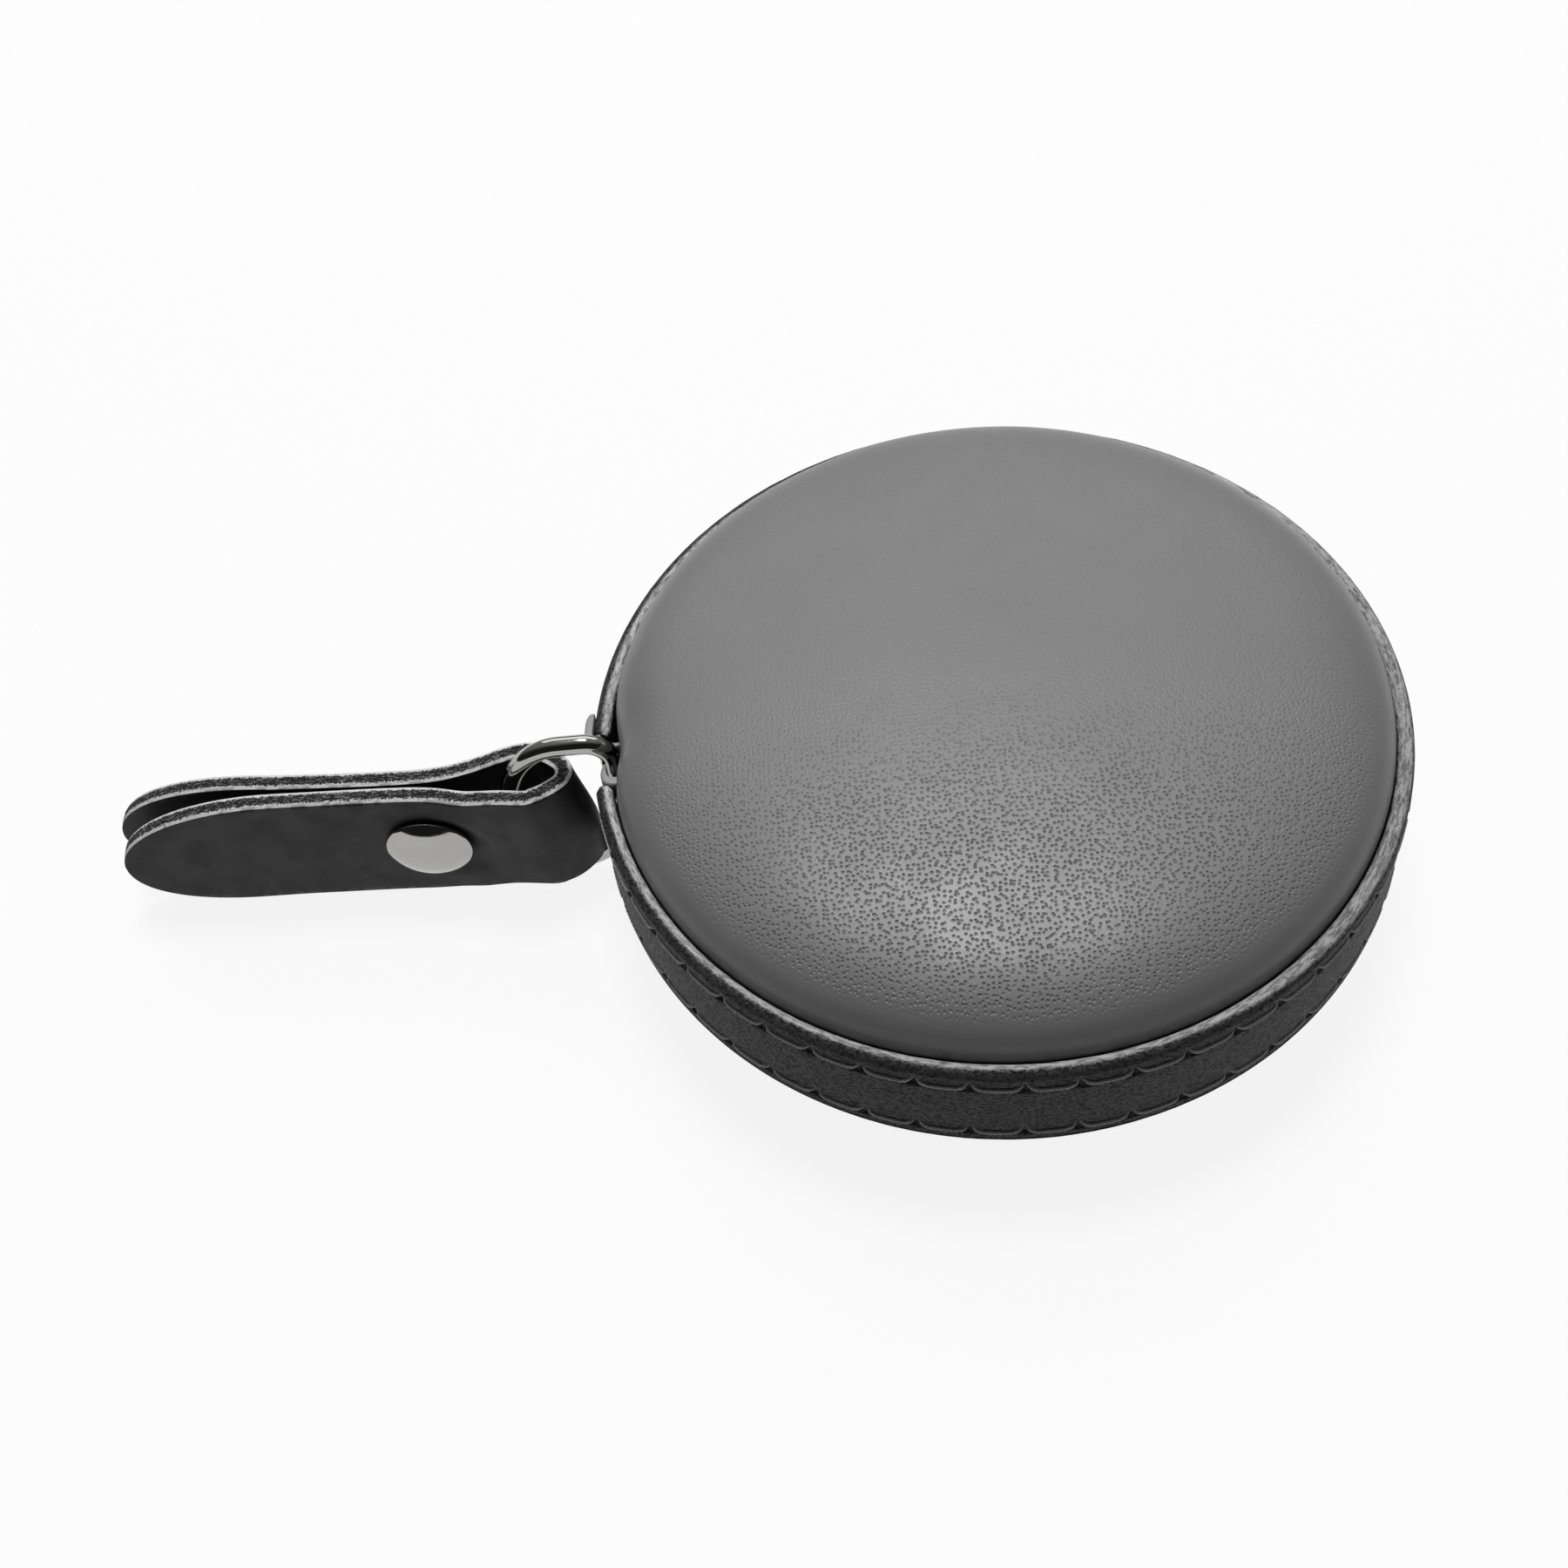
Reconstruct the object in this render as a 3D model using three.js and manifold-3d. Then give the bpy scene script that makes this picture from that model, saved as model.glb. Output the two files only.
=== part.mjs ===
// Round retractable tape measure in a stitched, padded leather case, with a D-ring and a folded pull tab.
// Millimetres, +Z up. The origin is on the reel's axis, on the surface that the case rests on.
// The tape leaves the case along -X. Heights named "rel" are counted from the middle of the side band.

import * as THREE from 'three';
import { mergeVertices } from 'three/addons/utils/BufferGeometryUtils.js';
import Module from 'manifold-3d';

const wasm = await Module();
wasm.setup();

// Case
const CASE_R = 25.0;            // outside of the side band
const HALF_THICKNESS = 8.4;     // middle of the band to the crown of either cover
const BAND_HALF_HEIGHT = 3.95;  // middle of the band to its rounded edge
const BAND_THICKNESS = 1.1;
const BAND_EDGE_ROUND = 0.45;
const LEATHER = 0.9;            // cover thickness
const GROOVE_WIDTH = 0.3;       // dark gap between the band's edge and the padded dome
const GROOVE_DEPTH = 0.95;      // groove's bottom below the band's edge
const CROWN = 1.6;              // share of the dome's height that is a gentle crown
const SHOULDER_POWER = 8.5;     // how square the dome's shoulder is
const SHOULDER_ROOT = 2.8;
const REST_FLAT_R = 9.0;        // flat patch under the bottom cover
const FLANGE_DEPTH = 2.3;       // turned-down edge of a cover inside the band
const FIT = 0.3;                // gap between soft layers
const RUN = 0.15;               // running clearance
const SEAT = 0.05;              // gap between faces that rest on each other
const CUT_PAST = 1.0;           // how far a cutting body reaches past what it cuts

// Seams
const SEAM_INSET = 1.4;         // stitch row below the band's edge
const SEAM_CHANNEL = 0.4;       // depth of the pressed line that the thread lies in
const SEAM_CHANNEL_HALF = 0.45;
const THREAD_R = 0.14;
const STITCH_PITCH = 3.1;
const STITCH_SAG = 0.16;
const THREAD_LIFT = 0.06;       // thread off the bottom of its channel
const SEAM_STOP = 0.9;          // end of a stitch row to the band's end

// Mouth
const MOUTH_HALF_GAP = 3.2;     // half the gap between the band's ends
const LIP_INNER = 1.75;         // middle of the mouth to the inside of a lip
const LIP_THICKNESS = 1.15;
const LIP_PROUD = 0.35;         // lips beyond the band's face
const MOUTH_PLATE = 0.85;
const MOUTH_END_WALL = 0.35;    // mouthpiece above and below the cavity
const MOUTH_SLOT_HALF = 0.8;
const NOTCH_REACH = 2.0;        // covers' notch inside their turned edges
const NOTCH_ROOM = 0.2;         // covers' notch above and below the mouthpiece
const WALL_WINDOW_HALF = 4.3;   // half width of the opening in the shells' walls

// Shells and mechanism
const SHELL_FIT = 0.5;          // shells inside the covers' turned edges
const SHELL_WALL = 1.1;
const CAVITY_HALF = 3.5;        // half the height inside the shells
const PARTING_GAP = 0.2;
const PAD_EDGE = 0.2;           // height of a foam pad's outer edge
const TAPE_WIDTH = 6.4;
const TAPE_THICKNESS = 0.3;
const COIL_ROOM = 1.6;          // full coil to the shells' wall
const DRUM_WALL = 1.0;
const DRUM_LEDGE = 0.7;         // step in the drum that the reel cover sits on
const DRUM_ROOM = 0.25;         // drum to the shells' floors
const WEB_THICKNESS = 0.6;
const ARBOR_R = 2.6;
const ARBOR_PIN_R = 1.7;
const ARBOR_FIT = 0.1;
const WASHER_T = 0.2;
const WASHER_LAP = 0.5;         // washer beyond the arbor
const REEL_COVER_T = 0.6;
const BRAKE_T = 0.7;
const BRAKE_ROOM = 1.8;         // brake disc to the drum's ledge
const BRAKE_LAND = 2.0;         // width of the braking face
const BUTTON_TRAVEL = 0.8;
const BUTTON_R = 6.0;
const BUTTON_FLANGE = 2.6;      // flange beyond the button's side
const BUTTON_FLANGE_ROOM = 0.6; // flange to the reel cover's bore
const BUTTON_EDGE = 0.5;        // bevel round the button's top
const BUTTON_CEILING = 1.6;     // thickness of the button's top
const BUTTON_COIL_ROOM = 0.57;  // button spring's wire off the arbor's pin
const BUTTON_WIRE_R = 0.18;
const BUTTON_COILS = 5;
const SPRING_STRIP_T = 0.35;
const SPRING_TURNS = 7;

// Ring, tab and rivet
const WIRE_R = 0.625;
const BAR_INSET = 0.9;          // the ring's straight bar inside the band's face
const RING_RISE = 0.65;         // centre line of the ring's upper side above the band's edge
const RING_LIFT = 0.7;          // centre line of its lower side above the resting surface
const RING_CORNER = 1.6;
const RING_FLAT = 2.9;          // bar to where the round side begins
const RING_ARC_DEPTH = 4.0;
const CLIP_SHEET = 0.3;
const CLIP_JAW = 1.7;           // bar to the ends of the clip's jaws
const LEAD_BEND = 0.9;          // clip's jaws to the corner that the tape turns round
const LEAD_BEND_IN = 0.3;       // the turn begins this far inside the jaws
const TAB_LEATHER = 1.1;
const TAB_DROP = 0.4;           // tab's lower edge over the ring's lower centre line
const TAB_HEIGHT = 9.75;
const TAB_FOLD_GAP = 2.1;       // bar to the outside of the fold
const TAB_LENGTH = 30.5;
const TAB_TIP_LENGTH = 8.5;     // length of a leaf's rounded end
const TAB_CORNER = 3.3;         // rounded lower corner at the fold
const TAB_CORNER_PAST = 0.5;    // the corner's outline reaches this far past the fold
const TAB_FOLD_RISE = 0.6;      // the strip's lower edge rises this much towards the fold
const TAB_HALF_GAP = 0.15;      // half the gap between the leaves at the rivet
const TAB_SPLAY = 0.5;          // how far a free end stands off
const TAB_LOOP_HALF = 1.78;     // middle of the leather at the loop's widest place
const TAB_LOOP_REACH = 3.4;     // fold to the loop's widest place
// Fold in plan: shares of the way from its end to the widest place, and of the half width there
const TAB_FOLD_SHAPE = [[0.67, 0.9], [0.44, 0.73], [0.25, 0.53], [0.085, 0.3]];
const TAB_PIVOT_BACK = 1.0;     // pivot inside the ring's round side
const TAB_YAW = THREE.MathUtils.degToRad(-3);
const TAB_SAG = 0.9;            // leaves below the loop, from the rivet to the tip
const RIVET_REACH = 10.1;       // fold to the rivet
const RIVET_CAP_R = 2.8;
const RIVET_CAP_H = 1.25;
const RIVET_BRIM = 0.3;
const RIVET_POST_R = 0.9;
const RIVET_POST_SHORT = 0.6;   // post's end short of the rear cap
const RIVET_HOLE_FIT = 0.2;

// Roundness of the solids
const ROUND = 48;               // what shows
const INNER_ROUND = 32;         // what the case hides
const FINE = 16;                // small round pieces

// Worked out from the sizes above
const Z0 = HALF_THICKNESS;      // middle of the band above the origin
const GROOVE_REL = BAND_HALF_HEIGHT - GROOVE_DEPTH;
const SEAM_REL = BAND_HALF_HEIGHT - SEAM_INSET;
const BAND_INNER_R = CASE_R - BAND_THICKNESS;
const DOME_R = BAND_INNER_R - GROOVE_WIDTH;
const FLANGE_R = BAND_INNER_R - FIT;
const LINING_EDGE_R = FLANGE_R - LEATHER;
const SHELL_R = LINING_EDGE_R - SHELL_FIT;
const SHELL_INNER_R = SHELL_R - SHELL_WALL;
const LID_REL = CAVITY_HALF + SHELL_WALL;
const TAPE_HALF = TAPE_WIDTH / 2;
const COIL_R = SHELL_INNER_R - COIL_ROOM;
const DRUM_HALF_HEIGHT = CAVITY_HALF - DRUM_ROOM;
const MOUTH_HALF_HEIGHT = CAVITY_HALF + MOUTH_END_WALL;
const WASHER_R = ARBOR_R + WASHER_LAP;
const BUTTON_TOP = HALF_THICKNESS - LEATHER - FIT;
const BUTTON_BORE_R = WASHER_R + ARBOR_FIT;
const BUTTON_COIL_R = ARBOR_PIN_R + BUTTON_COIL_ROOM + BUTTON_WIRE_R;
const REEL_COVER_LOW = DRUM_HALF_HEIGHT - REEL_COVER_T;
const BUTTON_FLANGE_R = BUTTON_R + BUTTON_FLANGE;
const REEL_COVER_BORE_R = BUTTON_FLANGE_R + BUTTON_FLANGE_ROOM;
const BRAKE_R = REEL_COVER_BORE_R + BRAKE_LAND;
const DRUM_LEDGE_R = BRAKE_R + BRAKE_ROOM;
const DRUM_INNER_R = DRUM_LEDGE_R + DRUM_LEDGE;
const DRUM_R = DRUM_INNER_R + DRUM_WALL;
const BRAKE_BORE_R = WASHER_R + FIT;
const BRAKE_TOP = REEL_COVER_LOW - RUN;
const WEB_TOP_REL = BRAKE_TOP - BRAKE_T - BUTTON_TRAVEL - RUN - SEAT;
const BAR_X = -CASE_R + BAR_INSET;
const RING_TOP_REL = BAND_HALF_HEIGHT + RING_RISE;
const RING_BOTTOM_REL = RING_LIFT - HALF_THICKNESS;
const RING_ARC_X = BAR_X - RING_FLAT;
const CLIP_END_X = BAR_X + CLIP_JAW;
const TAB_BOTTOM_REL = RING_BOTTOM_REL + TAB_DROP;
const TAB_TOP_REL = TAB_BOTTOM_REL + TAB_HEIGHT;
const TAB_FOLD_X = BAR_X - TAB_FOLD_GAP;
const TAB_TIP_X = TAB_FOLD_X - TAB_LENGTH;
const TAB_LOOP_X = TAB_FOLD_X - TAB_LOOP_REACH;
const TAB_PIVOT_X = RING_ARC_X - RING_ARC_DEPTH + TAB_PIVOT_BACK;
const RIVET_X = TAB_FOLD_X - RIVET_REACH;
const RIVET_HOLE_R = RIVET_POST_R + RIVET_HOLE_FIT;

const material = (color, roughness, metalness = 0) =>
  new THREE.MeshStandardMaterial({ color, roughness, metalness });
const LEATHER_TOP = material(0x6f6f70, 0.55);
const LEATHER_BAND = material(0x3f3f40, 0.6);
const LEATHER_TAB = material(0x353536, 0.6);
const THREAD = material(0x8a8a8a, 0.8);
const NICKEL = material(0xb8b6b0, 0.18, 1);
const SPRING_STEEL = material(0x8d9096, 0.3, 1);
const PLASTIC_GREY = material(0x9a9a9a, 0.45);
const PLASTIC_BLACK = material(0x202022, 0.5);
const FOAM = material(0xd8d4c8, 0.95);
const TAPE_CLOTH = material(0xf0ead8, 0.6);
const FELT = material(0x5a3030, 0.95);

// A closed triangle mesh with shared vertices, no flat triangles and its faces pointing out
function closed(geometry) {
  const bare = geometry.index ? geometry.clone() : mergeVertices(geometry.clone(), 1e-4);
  for (const name of Object.keys(bare.attributes)) {
    if (name !== 'position') bare.deleteAttribute(name);
  }
  const merged = mergeVertices(bare, 1e-4);
  const position = merged.attributes.position;
  const [a, b, c] = [new THREE.Vector3(), new THREE.Vector3(), new THREE.Vector3()];
  const kept = [];
  let volume = 0;
  for (let i = 0; i < merged.index.count; i += 3) {
    const corner = [0, 1, 2].map((k) => merged.index.getX(i + k));
    if (new Set(corner).size < 3) continue;
    kept.push(...corner);
    a.fromBufferAttribute(position, corner[0]);
    b.fromBufferAttribute(position, corner[1]);
    c.fromBufferAttribute(position, corner[2]);
    volume += a.dot(b.cross(c));
  }
  if (volume < 0) kept.reverse();
  merged.setIndex(kept);
  return merged;
}

function toSolid(geometry) {
  const mesh = closed(geometry);
  return new wasm.Manifold(new wasm.Mesh({
    numProp: 3,
    vertProperties: new Float32Array(mesh.attributes.position.array),
    triVerts: new Uint32Array(mesh.index.array),
  }));
}

function toGeometry(solid) {
  const mesh = solid.getMesh();
  const geometry = new THREE.BufferGeometry();
  geometry.setAttribute('position', new THREE.BufferAttribute(new Float32Array(mesh.vertProperties), 3));
  geometry.setIndex(new THREE.BufferAttribute(new Uint32Array(mesh.triVerts), 1));
  return geometry;
}

const cut = (geometry, ...tools) =>
  toGeometry(tools.reduce((solid, tool) => solid.subtract(toSolid(tool)), toSolid(geometry)));
const common = (geometry, tool) => toGeometry(toSolid(geometry).intersect(toSolid(tool)));

// A body turned about Z, from a closed outline of [radius, height] pairs
function turned(outline, segments = ROUND) {
  const first = outline[0];
  const last = outline[outline.length - 1];
  const onAxis = first[0] === 0 && last[0] === 0;
  const points = (onAxis ? outline : [...outline, first]).map(([r, z]) => new THREE.Vector2(r, z));
  return closed(new THREE.LatheGeometry(points, segments).rotateX(Math.PI / 2));
}

// An upright body with a plan outline of [x, y] pairs
function upright(outline, low, high) {
  const shape = new THREE.Shape(outline.map(([x, y]) => new THREE.Vector2(x, y)));
  const options = { depth: high - low, bevelEnabled: false };
  return closed(new THREE.ExtrudeGeometry(shape, options).translate(0, 0, low));
}

function block(x0, x1, y0, y1, z0, z1) {
  const box = new THREE.BoxGeometry(x1 - x0, y1 - y0, z1 - z0);
  return box.translate((x0 + x1) / 2, (y0 + y1) / 2, (z0 + z1) / 2);
}

// Plan outline of a strip of even thickness that follows a line of [x, y] points
function ribbon(line, thickness) {
  const sides = [[], []];
  line.forEach(([x, y], i) => {
    const before = line[Math.max(i - 1, 0)];
    const after = line[Math.min(i + 1, line.length - 1)];
    const run = Math.hypot(after[0] - before[0], after[1] - before[1]);
    const offset = thickness / 2 / run;
    const nx = -(after[1] - before[1]) * offset;
    const ny = (after[0] - before[0]) * offset;
    sides[0].push([x + nx, y + ny]);
    sides[1].unshift([x - nx, y - ny]);
  });
  return [...sides[0], ...sides[1]];
}

const arc = (cx, cy, rx, ry, from, to, steps) =>
  Array.from({ length: steps + 1 }, (_, i) => {
    const angle = THREE.MathUtils.degToRad(from + (to - from) * i / steps);
    return [cx + rx * Math.cos(angle), cy + ry * Math.sin(angle)];
  });

const spread = (from, to, steps) =>
  Array.from({ length: steps + 1 }, (_, i) => from + (to - from) * i / steps);

const group = new THREE.Group();
const add = (name, geometry, look, parent = group) => {
  const mesh = new THREE.Mesh(geometry, look);
  mesh.name = name;
  parent.add(mesh);
  return mesh;
};

// Everything of the case is built about the middle of the band and lifted by this group
const body = new THREE.Group();
body.position.z = Z0;
group.add(body);

// Height of a cover's outside at a radius; flat is the radius of the resting patch
function domeHeight(r, flat) {
  const share = Math.min(r / DOME_R, 1);
  const crownShare = Math.max(r - flat, 0) / (DOME_R - flat);
  const shoulder = HALF_THICKNESS - GROOVE_REL - CROWN;
  const square = (1 - share ** SHOULDER_POWER) ** (1 / SHOULDER_ROOT);
  return GROOVE_REL + shoulder * square + CROWN * (1 - crownShare ** 2);
}

// Height of a cover's inside: the outside moved in by the leather's thickness, square to the surface
function liningHeight(r, flat) {
  const step = 0.05;
  const slope = (domeHeight(r, flat) - domeHeight(r + step, flat)) / step;
  return domeHeight(r, flat) - LEATHER * Math.hypot(1, slope);
}

const DOME_RADII = [0.36, 0.58, 0.74, 0.84, 0.9, 0.94, 0.97, 0.99, 1].map((share) => share * DOME_R);
const LINING_RADII = [0.58, 0.84, 0.94].map((share) => share * DOME_R);

function coverOutline(flat) {
  const crown = flat > 0 ? [[0, HALF_THICKNESS], [flat, HALF_THICKNESS]] : [[0, HALF_THICKNESS]];
  const outside = DOME_RADII.filter((r) => r > flat).map((r) => [r, domeHeight(r, flat)]);
  const foot = GROOVE_REL - FLANGE_DEPTH;
  const flange = [[FLANGE_R, GROOVE_REL - FIT], [FLANGE_R, foot], [LINING_EDGE_R, foot]];
  const lining = LINING_RADII.filter((r) => r > flat && r < LINING_EDGE_R - FIT)
    .map((r) => [r, liningHeight(r, flat)]).reverse();
  const lid = HALF_THICKNESS - LEATHER;
  const middle = flat > 0 ? [[flat, lid], [0, lid]] : [[0, lid]];
  return [...crown, ...outside, ...flange, [LINING_EDGE_R, GROOVE_REL], ...lining, ...middle];
}

const mirrored = (outline) => outline.map(([r, z]) => [r, -z]);
const mouthNotch = () => block(-CASE_R - CUT_PAST, -LINING_EDGE_R + NOTCH_REACH,
  -MOUTH_HALF_GAP, MOUTH_HALF_GAP, -MOUTH_HALF_HEIGHT - NOTCH_ROOM, MOUTH_HALF_HEIGHT + NOTCH_ROOM);

function covers() {
  add('top_cover', cut(turned(coverOutline(0)), mouthNotch()), LEATHER_TOP, body);
  add('bottom_cover', cut(turned(mirrored(coverOutline(REST_FLAT_R))), mouthNotch()), LEATHER_TOP, body);
}

function sideBand() {
  const round = BAND_EDGE_ROUND;
  const top = BAND_HALF_HEIGHT;
  const upper = [
    [CASE_R, SEAM_REL - SEAM_CHANNEL_HALF],
    [CASE_R - SEAM_CHANNEL, SEAM_REL - SEAM_CHANNEL_HALF * 0.6],
    [CASE_R - SEAM_CHANNEL, SEAM_REL + SEAM_CHANNEL_HALF * 0.6],
    [CASE_R, SEAM_REL + SEAM_CHANNEL_HALF],
    [CASE_R, top - round],
    [CASE_R - round * 0.4, top - round * 0.2],
    [CASE_R - BAND_THICKNESS / 2, top],
    [BAND_INNER_R + round * 0.3, top - round * 0.2],
    [BAND_INNER_R, top - round],
  ];
  const outline = [...mirrored(upper).reverse(), ...upper];
  const gap = block(-CASE_R - CUT_PAST, 0, -MOUTH_HALF_GAP, MOUTH_HALF_GAP, -top - CUT_PAST, top + CUT_PAST);
  add('side_band', cut(turned(outline), gap), LEATHER_BAND, body);
}

// One row of lock stitches: the thread dips into a hole at each stitch's ends and sags between them
function seamThread(name, rel) {
  const bed = CASE_R - SEAM_CHANNEL + THREAD_R + THREAD_LIFT;
  const margin = (MOUTH_HALF_GAP + SEAM_STOP) / CASE_R;
  const span = 2 * Math.PI - 2 * margin;
  const stitches = Math.round(span * CASE_R / STITCH_PITCH);
  const points = spread(0, 1, stitches * 2).map((share, i) => {
    const angle = Math.PI + margin + span * share;
    const middle = i % 2;
    const r = bed + (middle ? THREAD_R * 0.6 : 0);
    const z = rel + (middle ? -STITCH_SAG / 2 : STITCH_SAG / 2);
    return new THREE.Vector3(r * Math.cos(angle), r * Math.sin(angle), z);
  });
  const path = new THREE.CatmullRomCurve3(points);
  const section = new THREE.Shape(
    arc(0, 0, THREAD_R, THREAD_R, 0, 270, 3).map(([x, y]) => new THREE.Vector2(x, y)));
  const options = { steps: stitches * 2, extrudePath: path, bevelEnabled: false };
  add(name, closed(new THREE.ExtrudeGeometry(section, options)), THREAD, body);
}

// Foam between a shell and its cover; bore clears the button
function pad(name, bore, flat, side) {
  const seat = LID_REL + RUN;
  const edge = SHELL_INNER_R - FIT;
  const top = [0.9, 0.8, 0.62, 0.4].map((share) => share * DOME_R)
    .filter((r) => r > Math.max(bore, flat) && r < edge)
    .map((r) => [r, liningHeight(r, flat) - FIT]);
  const crown = HALF_THICKNESS - LEATHER - FIT;
  const middle = flat > bore ? [[flat, crown], [bore, crown]] : [[bore, liningHeight(bore, flat) - FIT]];
  const outline = [[bore, seat], [edge, seat], [edge, seat + PAD_EDGE], ...top, ...middle];
  add(name, turned(outline.map(([r, z]) => [r, side * z]), INNER_ROUND), FOAM, body);
}

function shells() {
  const inner = SHELL_INNER_R;
  const hole = BUTTON_R + FIT;
  const foot = PARTING_GAP / 2;
  const window = block(-SHELL_R - CUT_PAST, -inner + WALL_WINDOW_HALF, -WALL_WINDOW_HALF, WALL_WINDOW_HALF,
    -CAVITY_HALF, CAVITY_HALF);
  const upper = [
    [hole, CAVITY_HALF], [inner, CAVITY_HALF], [inner, foot], [SHELL_R, foot],
    [SHELL_R, LID_REL - SHELL_WALL / 2], [SHELL_R - SHELL_WALL / 2, LID_REL], [hole, LID_REL],
  ];
  add('upper_shell', cut(turned(upper, INNER_ROUND), window), PLASTIC_BLACK, body);
  const shoulder = WEB_TOP_REL + SEAT;
  const pinTop = BUTTON_TOP - BUTTON_CEILING - BUTTON_TRAVEL - RUN;
  const lower = [
    [0, -LID_REL], [SHELL_R - SHELL_WALL / 2, -LID_REL], [SHELL_R, -LID_REL + SHELL_WALL / 2],
    [SHELL_R, -foot], [inner, -foot], [inner, -CAVITY_HALF], [ARBOR_R, -CAVITY_HALF], [ARBOR_R, shoulder],
    [ARBOR_PIN_R, shoulder], [ARBOR_PIN_R, pinTop], [0, pinTop],
  ];
  add('lower_shell', cut(turned(lower, INNER_ROUND), window), PLASTIC_BLACK, body);
}

// Mouthpiece: a plate with the tape's slot, and two rounded lips that the tape runs over
function tapeMouth() {
  const back = -SHELL_R - RUN;
  const face = back - MOUTH_PLATE;
  const lipEnd = -CASE_R - LIP_PROUD;
  const side = LIP_INNER + LIP_THICKNESS;
  const half = LIP_THICKNESS / 2;
  const mid = LIP_INNER + half;
  const nose = (y, from, to) => arc(lipEnd + half, y, half, half, from, to, 6);
  const outline = [
    [back, -side], [back, side],
    ...nose(mid, 90, 270),
    [face, LIP_INNER], [face, -LIP_INNER],
    ...nose(-mid, 90, 270),
  ];
  const slot = block(face - CUT_PAST, back + CUT_PAST, -MOUTH_SLOT_HALF, MOUTH_SLOT_HALF,
    -TAPE_HALF - RUN, TAPE_HALF + RUN);
  const plate = upright(outline, -MOUTH_HALF_HEIGHT, MOUTH_HALF_HEIGHT);
  add('tape_mouth', cut(plate, slot), PLASTIC_GREY, body);
}

function reel() {
  const bore = ARBOR_R + ARBOR_FIT;
  const webLow = WEB_TOP_REL - WEB_THICKNESS;
  const inner = DRUM_INNER_R;
  const ledge = DRUM_LEDGE_R;
  const coverLow = REEL_COVER_LOW;
  const drum = [
    [bore, webLow], [ledge, webLow], [ledge, -DRUM_HALF_HEIGHT], [DRUM_R, -DRUM_HALF_HEIGHT],
    [DRUM_R, DRUM_HALF_HEIGHT], [inner, DRUM_HALF_HEIGHT], [inner, coverLow - RUN], [ledge, coverLow - RUN],
    [ledge, WEB_TOP_REL], [bore, WEB_TOP_REL],
  ];
  add('tape_reel', turned(drum, INNER_ROUND), PLASTIC_GREY, body);
  const cover = [
    [REEL_COVER_BORE_R, coverLow], [inner - RUN, coverLow],
    [inner - RUN, coverLow + REEL_COVER_T], [REEL_COVER_BORE_R, coverLow + REEL_COVER_T],
  ];
  add('reel_cover', turned(cover, INNER_ROUND), PLASTIC_GREY, body);
  const washerLow = WEB_TOP_REL + 2 * SEAT;
  const washer = [
    [ARBOR_PIN_R + ARBOR_FIT, washerLow], [WASHER_R, washerLow],
    [WASHER_R, washerLow + WASHER_T], [ARBOR_PIN_R + ARBOR_FIT, washerLow + WASHER_T],
  ];
  add('reel_washer', turned(washer, FINE), SPRING_STEEL, body);
  const coil = [
    [DRUM_R + RUN, -TAPE_HALF], [COIL_R, -TAPE_HALF], [COIL_R, TAPE_HALF], [DRUM_R + RUN, TAPE_HALF],
  ];
  add('tape_coil', turned(coil, INNER_ROUND), TAPE_CLOTH, body);
}

// Flat spiral between the arbor and the drum, under the reel's web
function mainSpring() {
  const inside = ARBOR_R + FIT + SPRING_STRIP_T;
  const outside = DRUM_LEDGE_R - FIT - SPRING_STRIP_T;
  const steps = SPRING_TURNS * FINE;
  const line = spread(0, 1, steps).map((share) => {
    const angle = share * SPRING_TURNS * 2 * Math.PI;
    const r = inside + (outside - inside) * share;
    return [r * Math.cos(angle), r * Math.sin(angle)];
  });
  const low = -CAVITY_HALF + FIT;
  const high = WEB_TOP_REL - WEB_THICKNESS - FIT;
  add('main_spring', upright(ribbon(line, SPRING_STRIP_T), low, high), SPRING_STEEL, body);
}

function button() {
  const top = BUTTON_TOP;
  const brakeTop = BRAKE_TOP;
  const flangeLow = brakeTop + SEAT;
  const flangeTop = CAVITY_HALF - FIT;
  const plunger = [
    [BUTTON_BORE_R, flangeLow], [BUTTON_FLANGE_R, flangeLow], [BUTTON_FLANGE_R, flangeTop],
    [BUTTON_R, flangeTop], [BUTTON_R, top - BUTTON_EDGE], [BUTTON_R - BUTTON_EDGE, top], [0, top],
    [0, top - BUTTON_CEILING], [BUTTON_BORE_R, top - BUTTON_CEILING],
  ];
  const start = plunger.findIndex(([r, z]) => r === 0 && z === top - BUTTON_CEILING);
  const fromAxis = [...plunger.slice(start), ...plunger.slice(0, start)];
  add('button_plunger', turned(fromAxis, INNER_ROUND), PLASTIC_BLACK, body);
  const brake = [
    [BRAKE_BORE_R, brakeTop - BRAKE_T], [BRAKE_R, brakeTop - BRAKE_T],
    [BRAKE_R, brakeTop], [BRAKE_BORE_R, brakeTop],
  ];
  add('brake_disc', turned(brake, INNER_ROUND), FELT, body);

  const low = WEB_TOP_REL + 2 * SEAT + WASHER_T + RUN + BUTTON_WIRE_R;
  const high = top - BUTTON_CEILING - RUN - BUTTON_WIRE_R;
  const points = spread(0, 1, BUTTON_COILS * 8).map((share) => {
    const angle = share * BUTTON_COILS * 2 * Math.PI;
    const x = BUTTON_COIL_R * Math.cos(angle);
    return new THREE.Vector3(x, BUTTON_COIL_R * Math.sin(angle), low + (high - low) * share);
  });
  const section = new THREE.Shape(
    arc(0, 0, BUTTON_WIRE_R, BUTTON_WIRE_R, 0, 288, 4).map(([x, y]) => new THREE.Vector2(x, y)));
  const path = new THREE.CatmullRomCurve3(points);
  const options = { steps: BUTTON_COILS * 10, extrudePath: path, bevelEnabled: false };
  add('button_spring', closed(new THREE.ExtrudeGeometry(section, options)), SPRING_STEEL, body);
}

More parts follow.
